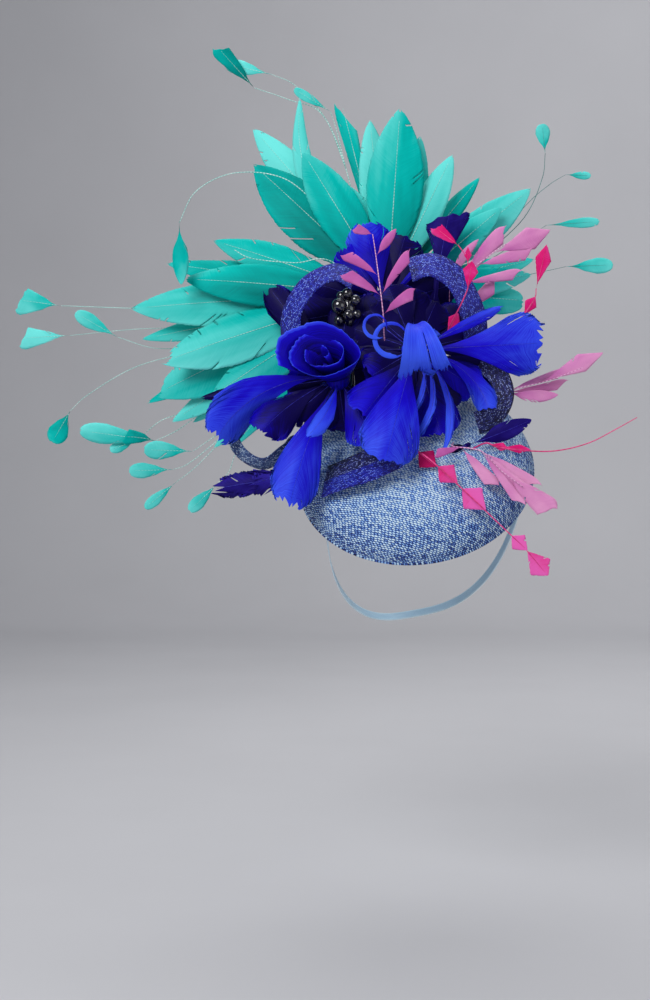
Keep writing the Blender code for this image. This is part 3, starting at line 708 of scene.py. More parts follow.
def addTube(shape, path, radiusAt, sides=6, look=1, seed=1):
    # a round strand through the points, closed at both ends
    path = [path[0], *path, path[-1]]
    spots = newGrid(shape, sides, len(path) - 1)
    ways = [(b - a).normalized() for a, b in zip(path[:-1], path[1:])]
    ways[0], ways[-1] = ways[1], ways[-2]
    ways.append(ways[-1])
    normal = ways[0].orthogonal().normalized()
    rings, far = [], 0
    for number, point in enumerate(path):
        if number:
            normal.rotate(ways[number - 1].rotation_difference(ways[number]))
            far += (point - path[number - 1]).length
        isEnd = number in (0, len(path) - 1)
        share = min(max((number - 1) / (len(path) - 3), 0), 1)
        rings.append((point, normal.copy(), ways[number], 0 if isEnd else radiusAt(share), far))
    for corner, (column, number) in spots.items():
        point, normal, way, radius, far = rings[number]
        side = normal.copy()
        side.rotate(Quaternion(way, 2 * math.pi * column / sides))
        corner.co = point + side * radius
        tell(shape, corner, strand=(column, far, seed % seedSpan), place=(0, 0, 0.5))
    for face in facesOf(spots):
        face.material_index = look
    bmesh.ops.remove_doubles(shape, verts=list(spots), dist=0.0005)


def addPost(shape, foot, heart, seed=1):
    # from just inside the straw of the dome to a head of feathers or beads
    place, out = domePlace(foot)
    path = [place - out * footDepth, place.lerp(heart, 0.5), heart]
    addTube(shape, path, lambda share: 1.3 + share, 8, 0, seed)


def addBall(shape, place, radius, sides=16, rings=10, tall=1):
    turn = Matrix.Translation(place) @ Matrix.Diagonal((1, 1, tall, 1))
    made = bmesh.ops.create_uvsphere(shape, u_segments=sides, v_segments=rings, radius=radius, matrix=turn)
    for corner in made["verts"]:
        tell(shape, corner, strand=(corner.co.x, corner.co.z, radius), place=(-0.6, 0.3, 0.5))


def thicken(shape, wall):
    # before the round pieces go in: the open sheets get their wall
    shape.normal_update()
    layer = shape.verts.layers.float_vector["out"]
    for corner in shape.verts:
        corner[layer] = corner.normal
    made = bmesh.ops.extrude_face_region(shape, geom=shape.faces[:], use_keep_orig=True)["geom"]
    for corner in made:
        if isinstance(corner, bmesh.types.BMVert):
            corner.co -= corner[layer] * wall


def addRachis(shape, shaft, row, style, seed, until=0.93):
    thick = style["quill"]
    steps = max(8, round(row.length / 8))
    path = []
    for step in range(steps + 1):
        point, _, face = shaft.at(0.1 + (until - 0.1) * step / steps)
        path.append(point + face * style["proud"])
    addTube(shape, path, lambda share: thick * (1 - 0.75 * share), 5, 1, seed)


# Feathers
# clock: the way it points, 0 to the right and 90 up. lean: how far it tips to the back. tone: from -1,
# dark, to 1, pale; tones of -1 and below are painted shade. curl: how far its tip has turned to the
# front. sweep: how far its tip has turned anticlockwise. roll: its turn round its own quill. share: how
# far along a quill a leaf grows. Angles are in degrees.
shared = "clock lean length width tone tip curl sweep roll"
Feather = namedtuple("Feather", shared, defaults=[0, "round", 0, 0, 0])
Leaf = namedtuple("Leaf", "share " + shared, defaults=[0, "drop", 0, 0, 0])
Plume = namedtuple("Plume", "foot heart headRadius feathers")

fans = {
    "turquoise_fan_left": Plume((-22, 78), (-37, 20, 158), 5, (
        Feather(156, 12, 160, 33, -0.15, "pointed", -4, 4, 8),
        Feather(171, 6, 173, 40, -0.5, "pointed", -4, 4, 10),
        Feather(168, 16, 205, 28, -0.3, "pointed", -4, 0, 10),
        Feather(179.5, 10, 228, 46, 0.1, "pointed", -6, 2, 10),
        Feather(188, 15, 227, 26, 0, "pointed", -4, 0, 10),
        Feather(194, 4, 201, 50, 0.25, "blade", -4, 4, 14),
        Feather(201, 10, 225, 57, 0, "blade", -6, 2, 16),
        Feather(203, 15, 240, 24, -0.4, "pointed", -4, 0, 14),
        Feather(209, 2, 172, 42, 0, "pointed", -4, 4, 14),
        Feather(209, 12, 222, 34, 0.3, "pointed", -4, 2, 16),
        Feather(213, 15, 209, 24, 0.2, "pointed", -4, 0, 16),
        Feather(221, 11, 203, 26, 0.35, "pointed", -4, 2, 20),
        Feather(226, 7, 191, 18, -0.2, "pointed", -4, 0, 20),
    )),
    "turquoise_fan_top": Plume((-9, 80), (-23, 24, 164), 5, (
        Feather(86, 4, 169, 53, -0.1, "pointed", -4, 0, -4),
        Feather(78, 11, 154, 35, 0, "pointed", -4, 0, -6),
        Feather(95, 13, 171, 32, 0.5, "pointed", -4, 0, 4),
        Feather(121, 4, 149, 43, -0.15, "pointed", -4),
        Feather(135, 11, 177, 54, -0.65, "pointed", -4, 0, 6),
        Feather(126, 17, 217, 40, 0.8, "pointed", -4, 2),
        Feather(148, 17, 222, 20, 0.5, "pointed", -4, -56),
        Feather(102.5, 15, 205, 17, -0.3, "paddle", -4),
        Feather(109, 9, 105, 30, 0, "pointed", -4, 0, 4),
        Feather(65, 8, 143, 32, 0.5, "pointed", -4, 0, -14),
        Feather(52, 16, 149, 20, -0.3, "pointed", -4, 0, -6),
    )),
    "turquoise_fan_right": Plume((4, 80), (-10, 20, 161), 5, (
        Feather(40, 9, 158, 37, 0.3, "pointed", -4, 0, -6),
        Feather(41, 3, 120, 28, 0, "pointed", -4, 0, -4),
        Feather(16, 11, 130, 24, 0, "pointed", -4, 0, -6),
        Feather(9, 5, 120, 28, 0, "pointed", -4, 0, -8),
        Feather(358, 8, 115, 30, -0.1, "round", -4, 0, -12),
    )),
}

# Tones of -1 and below are painted shade: dark petals packed round each head stand for the shade in the
# flowers.
flowers = {
    "blue_flower_left": Plume((-54, 46), (-68, -30, 80), 10.5, (
        Feather(168, -14, 127, 48, 0.1, "round", 16, 66, -20),
        Feather(188, 2, 121, 16, -1.8, "pointed"),
        Feather(198, -3, 92, 42, -1.1, "round", 30, 40, 20),
        Feather(80, -44, 100, 30, 0, "strip", 40, 320),
        Feather(97, 32, 54, 46, -1.4),
        Feather(268, -44, 80, 22, 0.4, "pointed", 0, -30),
        Feather(238, -26, 128, 46, 0, "round", -14, 18),
        Feather(126, 20, 113, 32, -1.5),
        Feather(300, -26, 70, 46, -0.5),
        Feather(62, 8, 84, 44, -1.4),
        Feather(83, 4, 66, 34, -1.5),
        Feather(220, -8, 56, 40, -1.3),
        Feather(180, 8, 46, 40, -1.4),
        Feather(278, 4, 48, 36, -1.3),
        Feather(246, -2, 46, 36, -1.3),
        Feather(322, 2, 54, 36, -1.3),
    )),
    "blue_flower_right": Plume((17, 54), (-2, -35, 104), 10.5, (
        Feather(2, -10, 111, 56, 0, "square", -6, 0, 6),
        Feather(26, -4, 84, 14, 0, "pointed"),
        Feather(0, -6, 90, 22, 0, "square", 20, -68),
        Feather(250, -42, 120, 57, 0, "round", -34, 6),
        Feather(98, -50, 104, 44, 0.5, "fringe", 190),
        Feather(200, -2, 50, 38, -1.4),
        Feather(328, 4, 66, 40, -0.6),
        Feather(112, 14, 66, 46, -1.3),
        Feather(212, -20, 50, 40, -1.2),
        Feather(232, -24, 84, 48, -0.6),
        Feather(286, -12, 80, 48, -0.7),
        Feather(150, -56, 90, 8, 0.4, "strip", 200, 60),
        Feather(212, -56, 84, 8, 0.6, "strip", 240),
        Feather(318, -34, 92, 9, 0.7, "pointed", 0, -108),
        Feather(326, -30, 100, 9, 0.6, "pointed", 0, -100),
        Feather(332, -22, 104, 10, 0.5, "pointed", 0, -80),
        Feather(160, 10, 62, 44, -1.4),
        Feather(66, 28, 58, 44, -1.5),
        Feather(14, 16, 56, 36, -1.4),
        Feather(178, 12, 64, 38, -1.4),
        Feather(138, 8, 56, 42, -1.5),
        Feather(92, 24, 64, 38, -1.5),
        Feather(40, 32, 74, 40, -1.5),
        Feather(341, 13, 86, 38, -1.3),
        Feather(302, 4, 62, 36, -1.4),
        Feather(272, 2, 54, 34, -1.3),
    )),
    "blue_feathers_back": Plume((-10, 52), (-26, 2, 147), 4, (
        Feather(104, 1, 78, 44, -0.2, "round", -4),
        Feather(145, -5, 59, 17, -0.6, "pointed"),
        Feather(162, 4, 66, 40, -1.5),
        Feather(74, 8, 70, 44, -1.4),
        Feather(96, 6, 50, 36, -1.4),
        Feather(46, 6, 56, 36, -1.4),
        Feather(124, 6, 66, 44, -0.6),
        Feather(18, 6, 66, 36, -1.5),
        Feather(58, -5, 57, 9, 0, "strip", 10, -20),
        Feather(268, 8, 64, 44, -1.5),
        Feather(190, 0, 86, 58, -1.3),
        Feather(240, 6, 108, 52, -1.5),
    )),
    "navy_feather": Plume((24, 62), (20, 6, 174), 3, (
        Feather(79, 2, 65, 38, 0, "slant"),
        Feather(262, 0, 62, 36),
    )),
    "blue_feather_low": Plume((-84, -8), (-86, -33, -2), 2.5, (
        Feather(186, 4, 94, 24, 0.1, "round", 0, 4),
        Feather(176, -2, 62, 22, 0.4, "round", 0, 24, 20),
    )),
    "navy_leaf": Plume((43, -18), (42, -50, 22), 1.6, (
        Feather(18, 0, 58, 16, 0, "pointed", 0, 6),
        Feather(196, 2, 17, 7, -1),
    )),
}

navyNodes = ("navy_feather", "navy_leaf", "blue_feather_low")

# The foot of the quills on the dome, then for each quill its knots, from its root outwards, and its leaves
quills = {
    "quills_top": [(-14, 97), [
        [
            (-34, 56, 150), (-45, 68, 215), (-60, 84, 288),
            (-82, 100, 342), (-115, 106, 358), (-147, 110, 370),
        ],
        Leaf(0.98, 134, -12, 54, 17, -0.6, "strip"),
    ], [
        [(-60, 84, 288), (-78, 98, 336), (-107, 104, 370), (-131, 106, 382)],
        Leaf(0.98, 165, 8, 46, 15, 0.8),
    ], [
        [(-60, 84, 288), (-68, 96, 325), (-74, 98, 344)],
        Leaf(0.96, 148, 0, 41, 10, 0.35),
    ]],
    "quills_left": [(-34, 93), [
        [(-56, 56, 112), (-110, 70, 140), (-180, 84, 153), (-260, 96, 157), (-330, 100, 160)],
        Leaf(0.98, 172, 0, 44, 28, 0.3, "paddle"),
    ], [
        [(-56, 56, 112), (-112, 72, 126), (-180, 86, 136), (-250, 98, 138), (-322, 102, 132)],
        Leaf(0.98, 183, 0, 50, 22, 1.1, "paddle"),
    ], [
        [(-110, 71, 132), (-170, 86, 124), (-235, 98, 119), (-276, 100, 130)],
        Leaf(0.97, 150, 0, 47, 15, 0.35),
    ], [
        [(-56, 56, 112), (-120, 74, 118), (-180, 84, 118), (-253, 92, 103), (-302, 94, 76), (-320, 94, 60)],
        Leaf(0.95, 240, 0, 35, 20, -0.3),
    ]],
    "quills_lower_left": [(-50, 78), [
        [(-78, 54, 84), (-140, 74, 82), (-190, 84, 60), (-218, 86, 41), (-239, 86, 31)],
        Leaf(0.97, 172, 0, 72, 20, 0.35),
        Leaf(0.97, 160, -6, 32, 15, -0.5, "strip", 0, 20),
    ], [
        [(-190, 84, 60), (-230, 88, 52), (-256, 90, 32)],
        Leaf(0.97, 200, 0, 28, 11, 0.35),
    ], [
        [(-78, 54, 84), (-135, 70, 68), (-175, 78, 40), (-203, 80, 21)],
        Leaf(0.97, 178, 0, 46, 18, 0.35),
    ], [
        [(-135, 70, 68), (-176, 76, 34), (-206, 78, 10), (-221, 78, 4)],
        Leaf(0.97, 182, 0, 42, 15, 0.35),
    ], [
        [(-135, 70, 68), (-170, 74, 36), (-200, 74, 6), (-218, 74, -8)],
        Leaf(0.97, 220, 0, 38, 11, 0.35),
    ], [
        [(-135, 70, 68), (-160, 68, 24), (-168, 66, 2), (-179, 64, -10)],
        Leaf(0.97, 224, 0, 36, 13, 0.35),
    ]],
    "quills_right": [(16, 97), [
        [(20, 58, 140), (64, 64, 196), (106, 74, 238), (124, 80, 276), (127, 80, 300)],
        Leaf(0.98, 96, 0, 28, 14, 0.35),
    ], [
        [(64, 64, 196), (106, 76, 248), (130, 80, 270), (146, 80, 280)],
        Leaf(0.98, 358, 0, 24, 8, 0.35),
    ], [
        [(20, 58, 140), (64, 62, 190), (126, 66, 230)],
        Leaf(0.98, 4, 0, 50, 10, 0.35),
    ], [
        [(20, 58, 140), (70, 56, 172), (142, 56, 190)],
        Leaf(0.98, 2, 0, 44, 15, 0.35),
    ]],
}

fronds = {
    "mauve_frond_top": [(-6, 38), [
        [
            (-22, -12, 84), (-28, -30, 113), (-30, -50, 132),
            (-33, -44, 160), (-36, -27, 190), (-38, -22, 205),
        ],
        Leaf(0.98, 160, 0, 18, 9, 0, "strip"),
        Leaf(0.72, 138, 4, 38, 10, 0, "strip", 0, 14),
        Leaf(0.56, 140, 0, 40, 11, 0, "strip", 0, 14),
        Leaf(0.84, 54, 6, 30, 8, 0, "pointed"),
        Leaf(0.6, 64, 12, 50, 10, 0, "strip", 0, -12),
        Leaf(0.54, 49, 10, 37, 11, 0, "strip", 0, -20),
    ]],
    "mauve_frond_upper_right": [(44, 68), [
        [(34, 12, 130), (44, -2, 170), (64, -5, 189), (82, -3, 201), (104, -1, 208)],
        Leaf(0.42, 66, 0, 64, 15, 0, "strip", 0, -24),
        Leaf(0.66, 22, 0, 57, 21, 0, "kite"),
        Leaf(0.5, 14, 0, 55, 13, 0, "strip"),
        Leaf(0.38, 10, 0, 54, 10, 0, "strip"),
        Leaf(0.25, 24, -4, 48, 13, 0, "strip", 0, 18),
    ], [
        [(34, 12, 130), (31, 8, 150), (31, 4, 168)],
        Leaf(0.98, 72, 0, 46, 8, 0, "pointed", 0, -24),
    ]],
    "mauve_frond_right": [(70, 36), [
        [(74, -14, 67), (87, -20, 72), (115, -25, 79), (142, -30, 89)],
        Leaf(0.62, 25, -4, 62, 17, 0.1, "kite"),
        Leaf(0.3, 24, -6, 58, 8, 0, "strip", 0, -8),
        Leaf(0.34, 4, 6, 58, 9, 0, "strip", 0, 8),
        Leaf(0.26, 344, 0, 46, 11, 0, "pointed", 0, 20),
    ]],
    "mauve_frond_low": [(34, -14), [
        [(28, -66, 20), (50, -73, 16), (66, -77, 0), (84, -80, -14)],
        Leaf(0.82, 321, 0, 50, 20, 0, "strip"),
        Leaf(0.34, 311, -3, 46, 12, 0, "strip"),
        Leaf(0.5, 307, -5, 60, 9, -0.1, "strip"),
        Leaf(0.5, 334, 3, 60, 9, 0.1, "strip", 0, -8),
        Leaf(0.5, 318, 0, 54, 10, 0, "strip"),
        Leaf(0.34, 194, 3, 24, 8, -0.8, "strip"),
    ]],
}

pinks = {
    "pink_quill_front": [(-10, -6), [
        [(4, -70, 12), (31, -83, -13), (64, -90, -45), (84, -90, -64)],
        Leaf(0.12, 320, -8, 22, 20, -0.9, "diamond"),
        Leaf(0.34, 320, 0, 24, 20, 0.2, "diamond"),
        Leaf(0.56, 318, 0, 30, 24, 0.9, "diamond"),
        Leaf(0.76, 317, 0, 20, 17, 1.1, "diamond"),
        Leaf(0.97, 310, 0, 30, 22, 0.6, "kite"),
    ]],
    "pink_quill_right": [(48, -22), [
        [
            (56, -62, 23), (67, -64, 19), (101, -63, 16), (123, -61, 18),
            (144, -58, 24), (162, -55, 33), (184, -52, 45),
        ],
        Leaf(0.15, 345, 0, 16, 8, 0, "kite"),
        Leaf(0.3, 356, 0, 28, 8, 0, "kite"),
    ]],
    "pink_quill_top": [(28, 48), [
        [(22, -12, 100), (27, -27, 122), (37, -44, 143), (43, -44, 160), (42, -38, 181), (35, -32, 194)],
        Leaf(0.98, 142, 4, 28, 12, 0, "strip"),
        Leaf(0.84, 90, 0, 14, 7, 0, "diamond"),
        Leaf(0.56, 80, 0, 26, 14, 0, "kite"),
        Leaf(0.32, 62, 0, 22, 12, 0, "kite"),
    ]],
    "pink_quill_upper_right": [(76, 46), [
        [(70, 2, 95), (80, -14, 118), (90, -20, 131), (102, -20, 149), (104, -18, 159)],
        Leaf(0.98, 76, 2, 40, 15, 0, "kite"),
        Leaf(0.66, 58, 0, 22, 12, 0, "kite"),
    ]],
}

# Quills and curls that spring from the head of a plume
ownQuills = {
    "turquoise_fan_top": [
        [
            (-23, 24, 164), (-62, 34, 210), (-99, 38, 255), (-128, 40, 271),
            (-166, 38, 271), (-196, 30, 253), (-210, 24, 224),
        ],
        Leaf(0.98, 272, 0, 56, 15, 0, "pointed"),
    ],
    "blue_flower_right": [
        [(-2, -35, 104), (-6, -62, 101), (-14, -70, 106), (-28, -70, 117)],
        Leaf(0.98, 60, 0, 56, 3.4, 0.6, "cut", 0, 335),
        Leaf(0.55, 56, 0, 80, 5, 0.8, "cut", 0, 335),
    ],
    "turquoise_fan_left": [
        [(-37, 20, 158), (-75, 12, 188), (-106, 11, 186), (-144, 12, 190), (-160, 14, 198)],
    ],
}

roseCup = {
    "node": "blue_flower_left",
    "rim": (-84, -62, 100),   # the middle of the rim, mm
    "across": 40,   # half of the rim's width
    "up": 27,       # half of its height
    "start": 205,   # degrees
    "turns": 2.7,
    "shrink": 0.86,   # how much smaller the inmost end is than the rim
    "throat": 0.1,  # the share of its width that the cup keeps at its root
    "flare": 0.7,   # below 1 for a cup that opens at once
    "fray": 0.04,
    "wave": 0.035,  # how much the rim strays in and out
    "roll": 60,     # how much the rim turns back
    "sunk": 12,     # mm that the inmost turn lies deeper
    "billow": 2.5,  # mm that the rim waves to the front and back
}


def drawRose(shape, heart, style, seed):
    # one long feather wound round into an open cup, with painted shade deep in the cup and on its inner
    # turns, and a painted highlight along its rim
    cup = roseCup
    columns, rows = round(70 * cup["turns"]), 14
    tufts = tuftsOf(columns, style, random.Random(seed))
    for corner, (column, number) in newGrid(shape, columns, rows).items():
        wound, far = column / columns, number / rows
        out = far * (1 - cup["fray"] * tufts[column][2] * far)
        angle = math.radians(cup["start"] - 360 * cup["turns"] * wound)
        radius = (1 - cup["shrink"] * wound) * (cup["throat"] + (1 - cup["throat"]) * out ** cup["flare"])
        radius *= 1 + cup["wave"] * (math.sin(3 * angle + 2) + math.sin(5 * angle + 9 * wound)) * far
        around = Vector((cup["across"] * math.cos(angle), 0, cup["up"] * math.sin(angle)))
        roll = cup["roll"] * max(far - 0.8, 0) ** 2
        sunk = cup["sunk"] * wound * far + cup["billow"] * math.sin(2.3 * angle + 1) * far
        corner.co = heart.lerp(Vector(cup["rim"]), out) + around * radius - front * (roll + sunk)
        # painted shade inside the cup and on the inner turns, and a painted highlight along the rim
        tone = 1.1 * far - 1.05 - 0.3 * wound + 0.8 * (max(far - 0.9, 0) / 0.1) ** 2
        tell(shape, corner, strand=(far * 40, wound * 130, seed % seedSpan), place=(tone, 0, 0.5))


def buildSteps(row):
    # as many bends as the solid has: more where a feather turns further
    return 4 + round(max(abs(row.curl), abs(row.sweep)) / 50)


def seedFor(node, number):
    return sum(map(ord, node)) * 31 + number * 7


def drawFeather(shape, shaft, row, style, seed):
    if row.tip == "fringe":
        hairVane(shape, shaft, row, style, seed)
    else:
        satinVane(shape, shaft, row, style, seed)


def makePlume(node, plume, style, looks, slot):
    # feathers that spring from a small head on a post
    shape = newShape()
    heart, path = Vector(plume.heart), None
    shafts = []
    for number, row in enumerate(plume.feathers):
        shaft, seed = Shaft(heart, row, buildSteps(row)), seedFor(node, number)
        drawFeather(shape, shaft, row, style, seed)
        shafts.append((shaft, row, seed))
    if node == roseCup["node"]:
        drawRose(shape, heart, style, seedFor(node, 90))
    if node in ownQuills:
        knots, *leaves = ownQuills[node]
        path, coarse = smoothPath(knots, 60), smoothPath(knots, 14)
        for number, leaf in enumerate(leaves):
            shaft = Shaft(coarse[round(leaf.share * 14)], leaf, 14 if leaf.sweep > 90 else 3)
            drawFeather(shape, shaft, leaf, leafStyle, seedFor(node, 60 + number))
    thicken(shape, style["wall"])
    if style["quill"]:
        for shaft, row, seed in shafts:
            addRachis(shape, shaft, row, style, seed)
    if path:
        addTube(shape, path, lambda share: 0.5 - 0.2 * share, 6, 1, 5)
    addPost(shape, plume.foot, heart, 3)
    addBall(shape, heart, plume.headRadius)
    handIn(pieceName(node), shape, looks, slot, node)


def makeStems(node, foot, stems, style, looks, slot):
    # thin quills that share a foot on the dome, with leaves along them
    shape = newShape()
    shafts, paths = [], []
    for number, (knots, *leaves) in enumerate(stems):
        if number == 0:
            place, out = domePlace(foot)
            knots = (place - out * footDepth, *knots)
        coarse = smoothPath(knots, round(1.6 * (len(knots) - 1)))
        paths.append(smoothPath(knots, 8 * (len(knots) - 1)))
        for part, leaf in enumerate(leaves):
            # the frond's tone; for the top frond this darker tone is painted shade
            leaf = leaf._replace(tone=leaf.tone + frondTonesAndShade.get(node, 0))
            shaft = Shaft(coarse[round(leaf.share * (len(coarse) - 1))], leaf, 3)
            seed = seedFor(node, 10 * number + part)
            drawFeather(shape, shaft, leaf, style, seed)
            shafts.append((shaft, leaf, seed))
    thicken(shape, style["wall"])
    if style["quill"]:
        for shaft, leaf, seed in shafts:
            addRachis(shape, shaft, leaf, style, seed, 0.85)
    for number, path in enumerate(paths):
        thick = style["stem"] * (1.25 if number == 0 else 1)
        addTube(shape, path, lambda share: thick * (1 - 0.5 * share), 6, 1, number + 2)
    handIn(pieceName(node), shape, looks, slot, node)


# Straw, elastic and beads
def makeBase(look):
    # half of the outline, spun round: the outside of the dome, the bead of its rim and its inside
    radius, height, wall, bead = (base[name] for name in ("radius", "height", "wall", "rimBead"))
    turns = [math.pi / 2 * (1 - row / base["domeRows"]) for row in range(base["domeRows"] + 1)]
    outside = [(radius * math.cos(a), height * math.sin(a)) for a in turns]
    inside = [((radius - wall) * math.cos(a), (height - wall) * math.sin(a)) for a in reversed(turns)]
    middle = radius - wall / 2 + base["rimOut"]
    rim = [
        (middle + bead * math.cos(a), -bead / 2 - bead / 2 * math.sin(a))
        for a in map(math.radians, (10, 50, 90, 130, 170))
    ]
    shape = newShape()
    corners = [shape.verts.new((max(x, 0), 0, z)) for x, z in outside + rim + inside]
    edges = [shape.edges.new(pair) for pair in zip(corners, corners[1:])]
    bmesh.ops.spin(
        shape, geom=corners + edges, cent=(0, 0, 0), axis=(0, 0, 1), dvec=(0, 0, 0),
        angle=2 * math.pi, steps=base["steps"], use_merge=True, use_duplicate=False,
    )
    bmesh.ops.remove_doubles(shape, verts=shape.verts, dist=0.001)
    for corner in shape.verts:
        x, y, _ = corner.co
        far = math.hypot(x, y)
        share = domeArc(far) / far if far > 0.01 else 1
        # the third value is painted light: a highlight over the middle of the dome, painted shade towards
        # the rim
        tell(shape, corner, weave=(x * share, y * share, 0.4 - 0.9 * (far / radius) ** 4))
    bmesh.ops.transform(shape, matrix=baseTurn, verts=shape.verts)
    handIn("strawBase", shape, [look], "denim_straw", "base_shell")


# foot: on the dome. centre: what the loop goes round, across and up. facing: 0 where the band lies flat
# to the front and 90 where its edge does.
Loop = namedtuple("Loop", "foot centre width facing knots")
loops = {
    "loop_upper_left": Loop((-80, 45), (-68, 128), 22, 38, (
        (-100, -10, 76), (-108, -26, 118), (-106, -28, 140),
        (-92, -28, 161), (-71, -28, 171), (-54, -26, 164),
    )),
    "loop_upper_right": Loop((52, 48), (2, 128), 26, 30, (
        (50, -12, 98), (50, -26, 128), (42, -30, 152), (31, -30, 168), (12, -28, 178), (-6, -24, 174),
    )),
    "loop_right": Loop((57, -2), (40, 68), 22, 28, (
        (64, -38, 47), (74, -32, 65), (70, -26, 83), (56, -20, 96),
    )),
    "loop_lower_left": Loop((-87, 34), (-132, 34), 14, 46, (
        (-104, -14, 30), (-112, -22, 20), (-132, -24, 7),
        (-152, -19, 17), (-159, -12, 36), (-150, -6, 56),
    )),
    "band_front": Loop((-80, -20), (-50, 120), 34, -38, (
        (-62, -52, -2), (-40, -62, 6), (-18, -60, 16),
    )),
}

straw = {
    "wall": 0.9,
    "loopSteps": 90,
    "crimp": 0.35,   # mm that the edges wave
}


def bandAcross(loop, place):
    facing = math.radians(loop.facing)
    outward = Vector((place.x - loop.centre[0], 0, place.z - loop.centre[1])).normalized()
    return outward * math.cos(facing) - front * math.sin(facing)


def makeLoop(node, loop, looks):
    # a strip of woven straw, bent into a loop and sewn to the dome, its lower half in a second weave
    place, _ = domePlace(loop.foot)
    edge = bandAcross(loop, place) * loop.width / 2
    lowest = min(aboveDome(place + edge), aboveDome(place - edge))
    rows, columns = straw["loopSteps"], 10
    path = smoothPath([place - baseUp * lowest, *loop.knots], rows)
    far = lengthsAlong(path)
    shape = newShape()
    for corner, (column, number) in newGrid(shape, columns, rows).items():
        side = 2 * column / columns - 1
        across = bandAcross(loop, path[number])
        way = (path[min(number + 1, rows)] - path[max(number - 1, 0)]).normalized()
        crimp = straw["crimp"] * math.sin(far[number] / 7 + side * 1.4) * abs(side)
        corner.co = path[number] + across * side * loop.width / 2 + way.cross(across).normalized() * crimp
        # the third value is painted light: the middle of the strip lighter, its edges in painted shade
        tell(shape, corner, weave=(far[number], side * loop.width / 2, 0.12 - 0.3 * abs(side) ** 6))
    area = sum(face.calc_area() for face in shape.faces)
    weave = shape.verts.layers.float_vector["weave"]
    for face in shape.faces:
        if len(looks) > 1 and sum(corner[weave].y for corner in face.verts) > 0:
            face.material_index = 1
    thicken(shape, straw["wall"])
    piece = handIn(pieceName(node), shape, looks, "blue_straw", node)
    area / loop.width * mm
    print(f"{node}: a strip {loop.width} mm wide and {area / loop.width:.0f} mm long")


elastic = {
    "width": 8,
    "wall": 1.0,
    "drop": 150,       # mm from its ends to its lowest part
    "fall": (0, 0.75, -0.66),   # the way that it hangs
    "square": 0.7,     # below 1 for a loop that is squarer than an ellipse
    "angle": 28,       # degrees in front of the middle where it is sewn on
    "inset": 4.0,      # mm from the straw
    "sewHeight": 2,    # mm above the rim
    "steps": 120,
    "ribEvery": 0.95,
    "knitEvery": 0.8,
    "stitches": 4,     # at each end
    "firstStitch": 1.5,
    "stitchEvery": 1.6,
    "stitchHalf": 2.4,
    "stitchLift": 0.75,
    "thread": 0.25,
}


def makeElastic(look, thread):
    # half of a squared loop, hung from inside the rim
    inside = base["radius"] - base["wall"] - elastic["inset"]
    angle = math.radians(elastic["angle"])
    ends = [
        baseTurn @ Vector((side * inside * math.cos(angle), -inside * math.sin(angle), elastic["sewHeight"]))
        for side in (-1, 1)
    ]
    middle, out = (ends[0] + ends[1]) / 2, (ends[1] - ends[0]) / 2
    drop = Vector(elastic["fall"]).normalized() * elastic["drop"]
    wide = out.cross(drop).normalized()
    steps, columns = elastic["steps"], 8
    path = []
    for step in range(steps + 1):
        turned = math.pi * step / steps
        spread = math.copysign(abs(math.cos(turned)) ** elastic["square"], math.cos(turned))
        path.append(middle - out * spread + drop * math.sin(turned))
    far = lengthsAlong(path)
    shape = newShape()
    for corner, (column, number) in newGrid(shape, columns, steps).items():
        side = 2 * column / columns - 1
        corner.co = path[number] + wide * side * elastic["width"] / 2
        tell(shape, corner, weave=(far[number], side * elastic["width"] / 2, abs(side)))
    thicken(shape, elastic["wall"])
    handIn("headElastic", shape, [look], "pale_elastic", "head_elastic")
    print(f"elastic: {far[-1]:.0f} mm long between its two ends")

    # a few stitches hold each end inside the rim
    shape = newShape()
    for end, other in ((path[0], path[3]), (path[-1], path[-4])):
        down = (other - end).normalized()
        lift = wide.cross(down).normalized() * elastic["stitchLift"]
        for number in range(elastic["stitches"]):
            place = end + down * (elastic["firstStitch"] + number * elastic["stitchEvery"])
            for face in (-1, 1):
                spots = [step * elastic["stitchHalf"] for step in (-1, -0.4, 0.4, 1)]
                across = [place + wide * spot + lift * face for spot in spots]
                addTube(shape, across, lambda share: elastic["thread"], 5, 0)
    handIn("elasticStitches", shape, [thread], "pale_elastic")


beadSetting = {
    "foot": (-46, 14),
    "place": (-59, -24, 138),
    "radius": 7,
    "tall": 2.0,
}
# across, back and up from the setting, and the radius
beads = (
    (-8, -6, 4, 7.0),
    (-1, -4, 15, 5.0),
    (6, -6, 9, 5.0),
    (0, -8, -4, 5.0),
    (7, -5, -3, 4.5),
    (-8, -4, -8, 4.5),
    (-6, -2, 13, 4.5),
)


def makeBeads(look):
    setting = Vector(beadSetting["place"])
    shape = newShape()
    addPost(shape, beadSetting["foot"], setting)
    addBall(shape, setting, beadSetting["radius"], 20, 12, beadSetting["tall"])
    for across, back, up, radius in beads:
        addBall(shape, setting + Vector((across, back, up)), radius, 24, 14)
    handIn("beadCluster", shape, [look], "black_bead", "bead_cluster")


def beadLook(name):
    look = Look(name)
    cloud = look.noise(look.node("ShaderNodeTexCoord", {}, {}, "Object"), 260, 2)
    return look.wear(
        Base_Color=look.ramp(cloud, [(0.3, (2, 2, 10)), (0.55, (6, 6, 26)), (0.75, (18, 20, 60))]),
        Roughness=0.02 + cloud * 0.08, Coat_Weight=0.4, Coat_Roughness=0.02, IOR=1.8,
    )


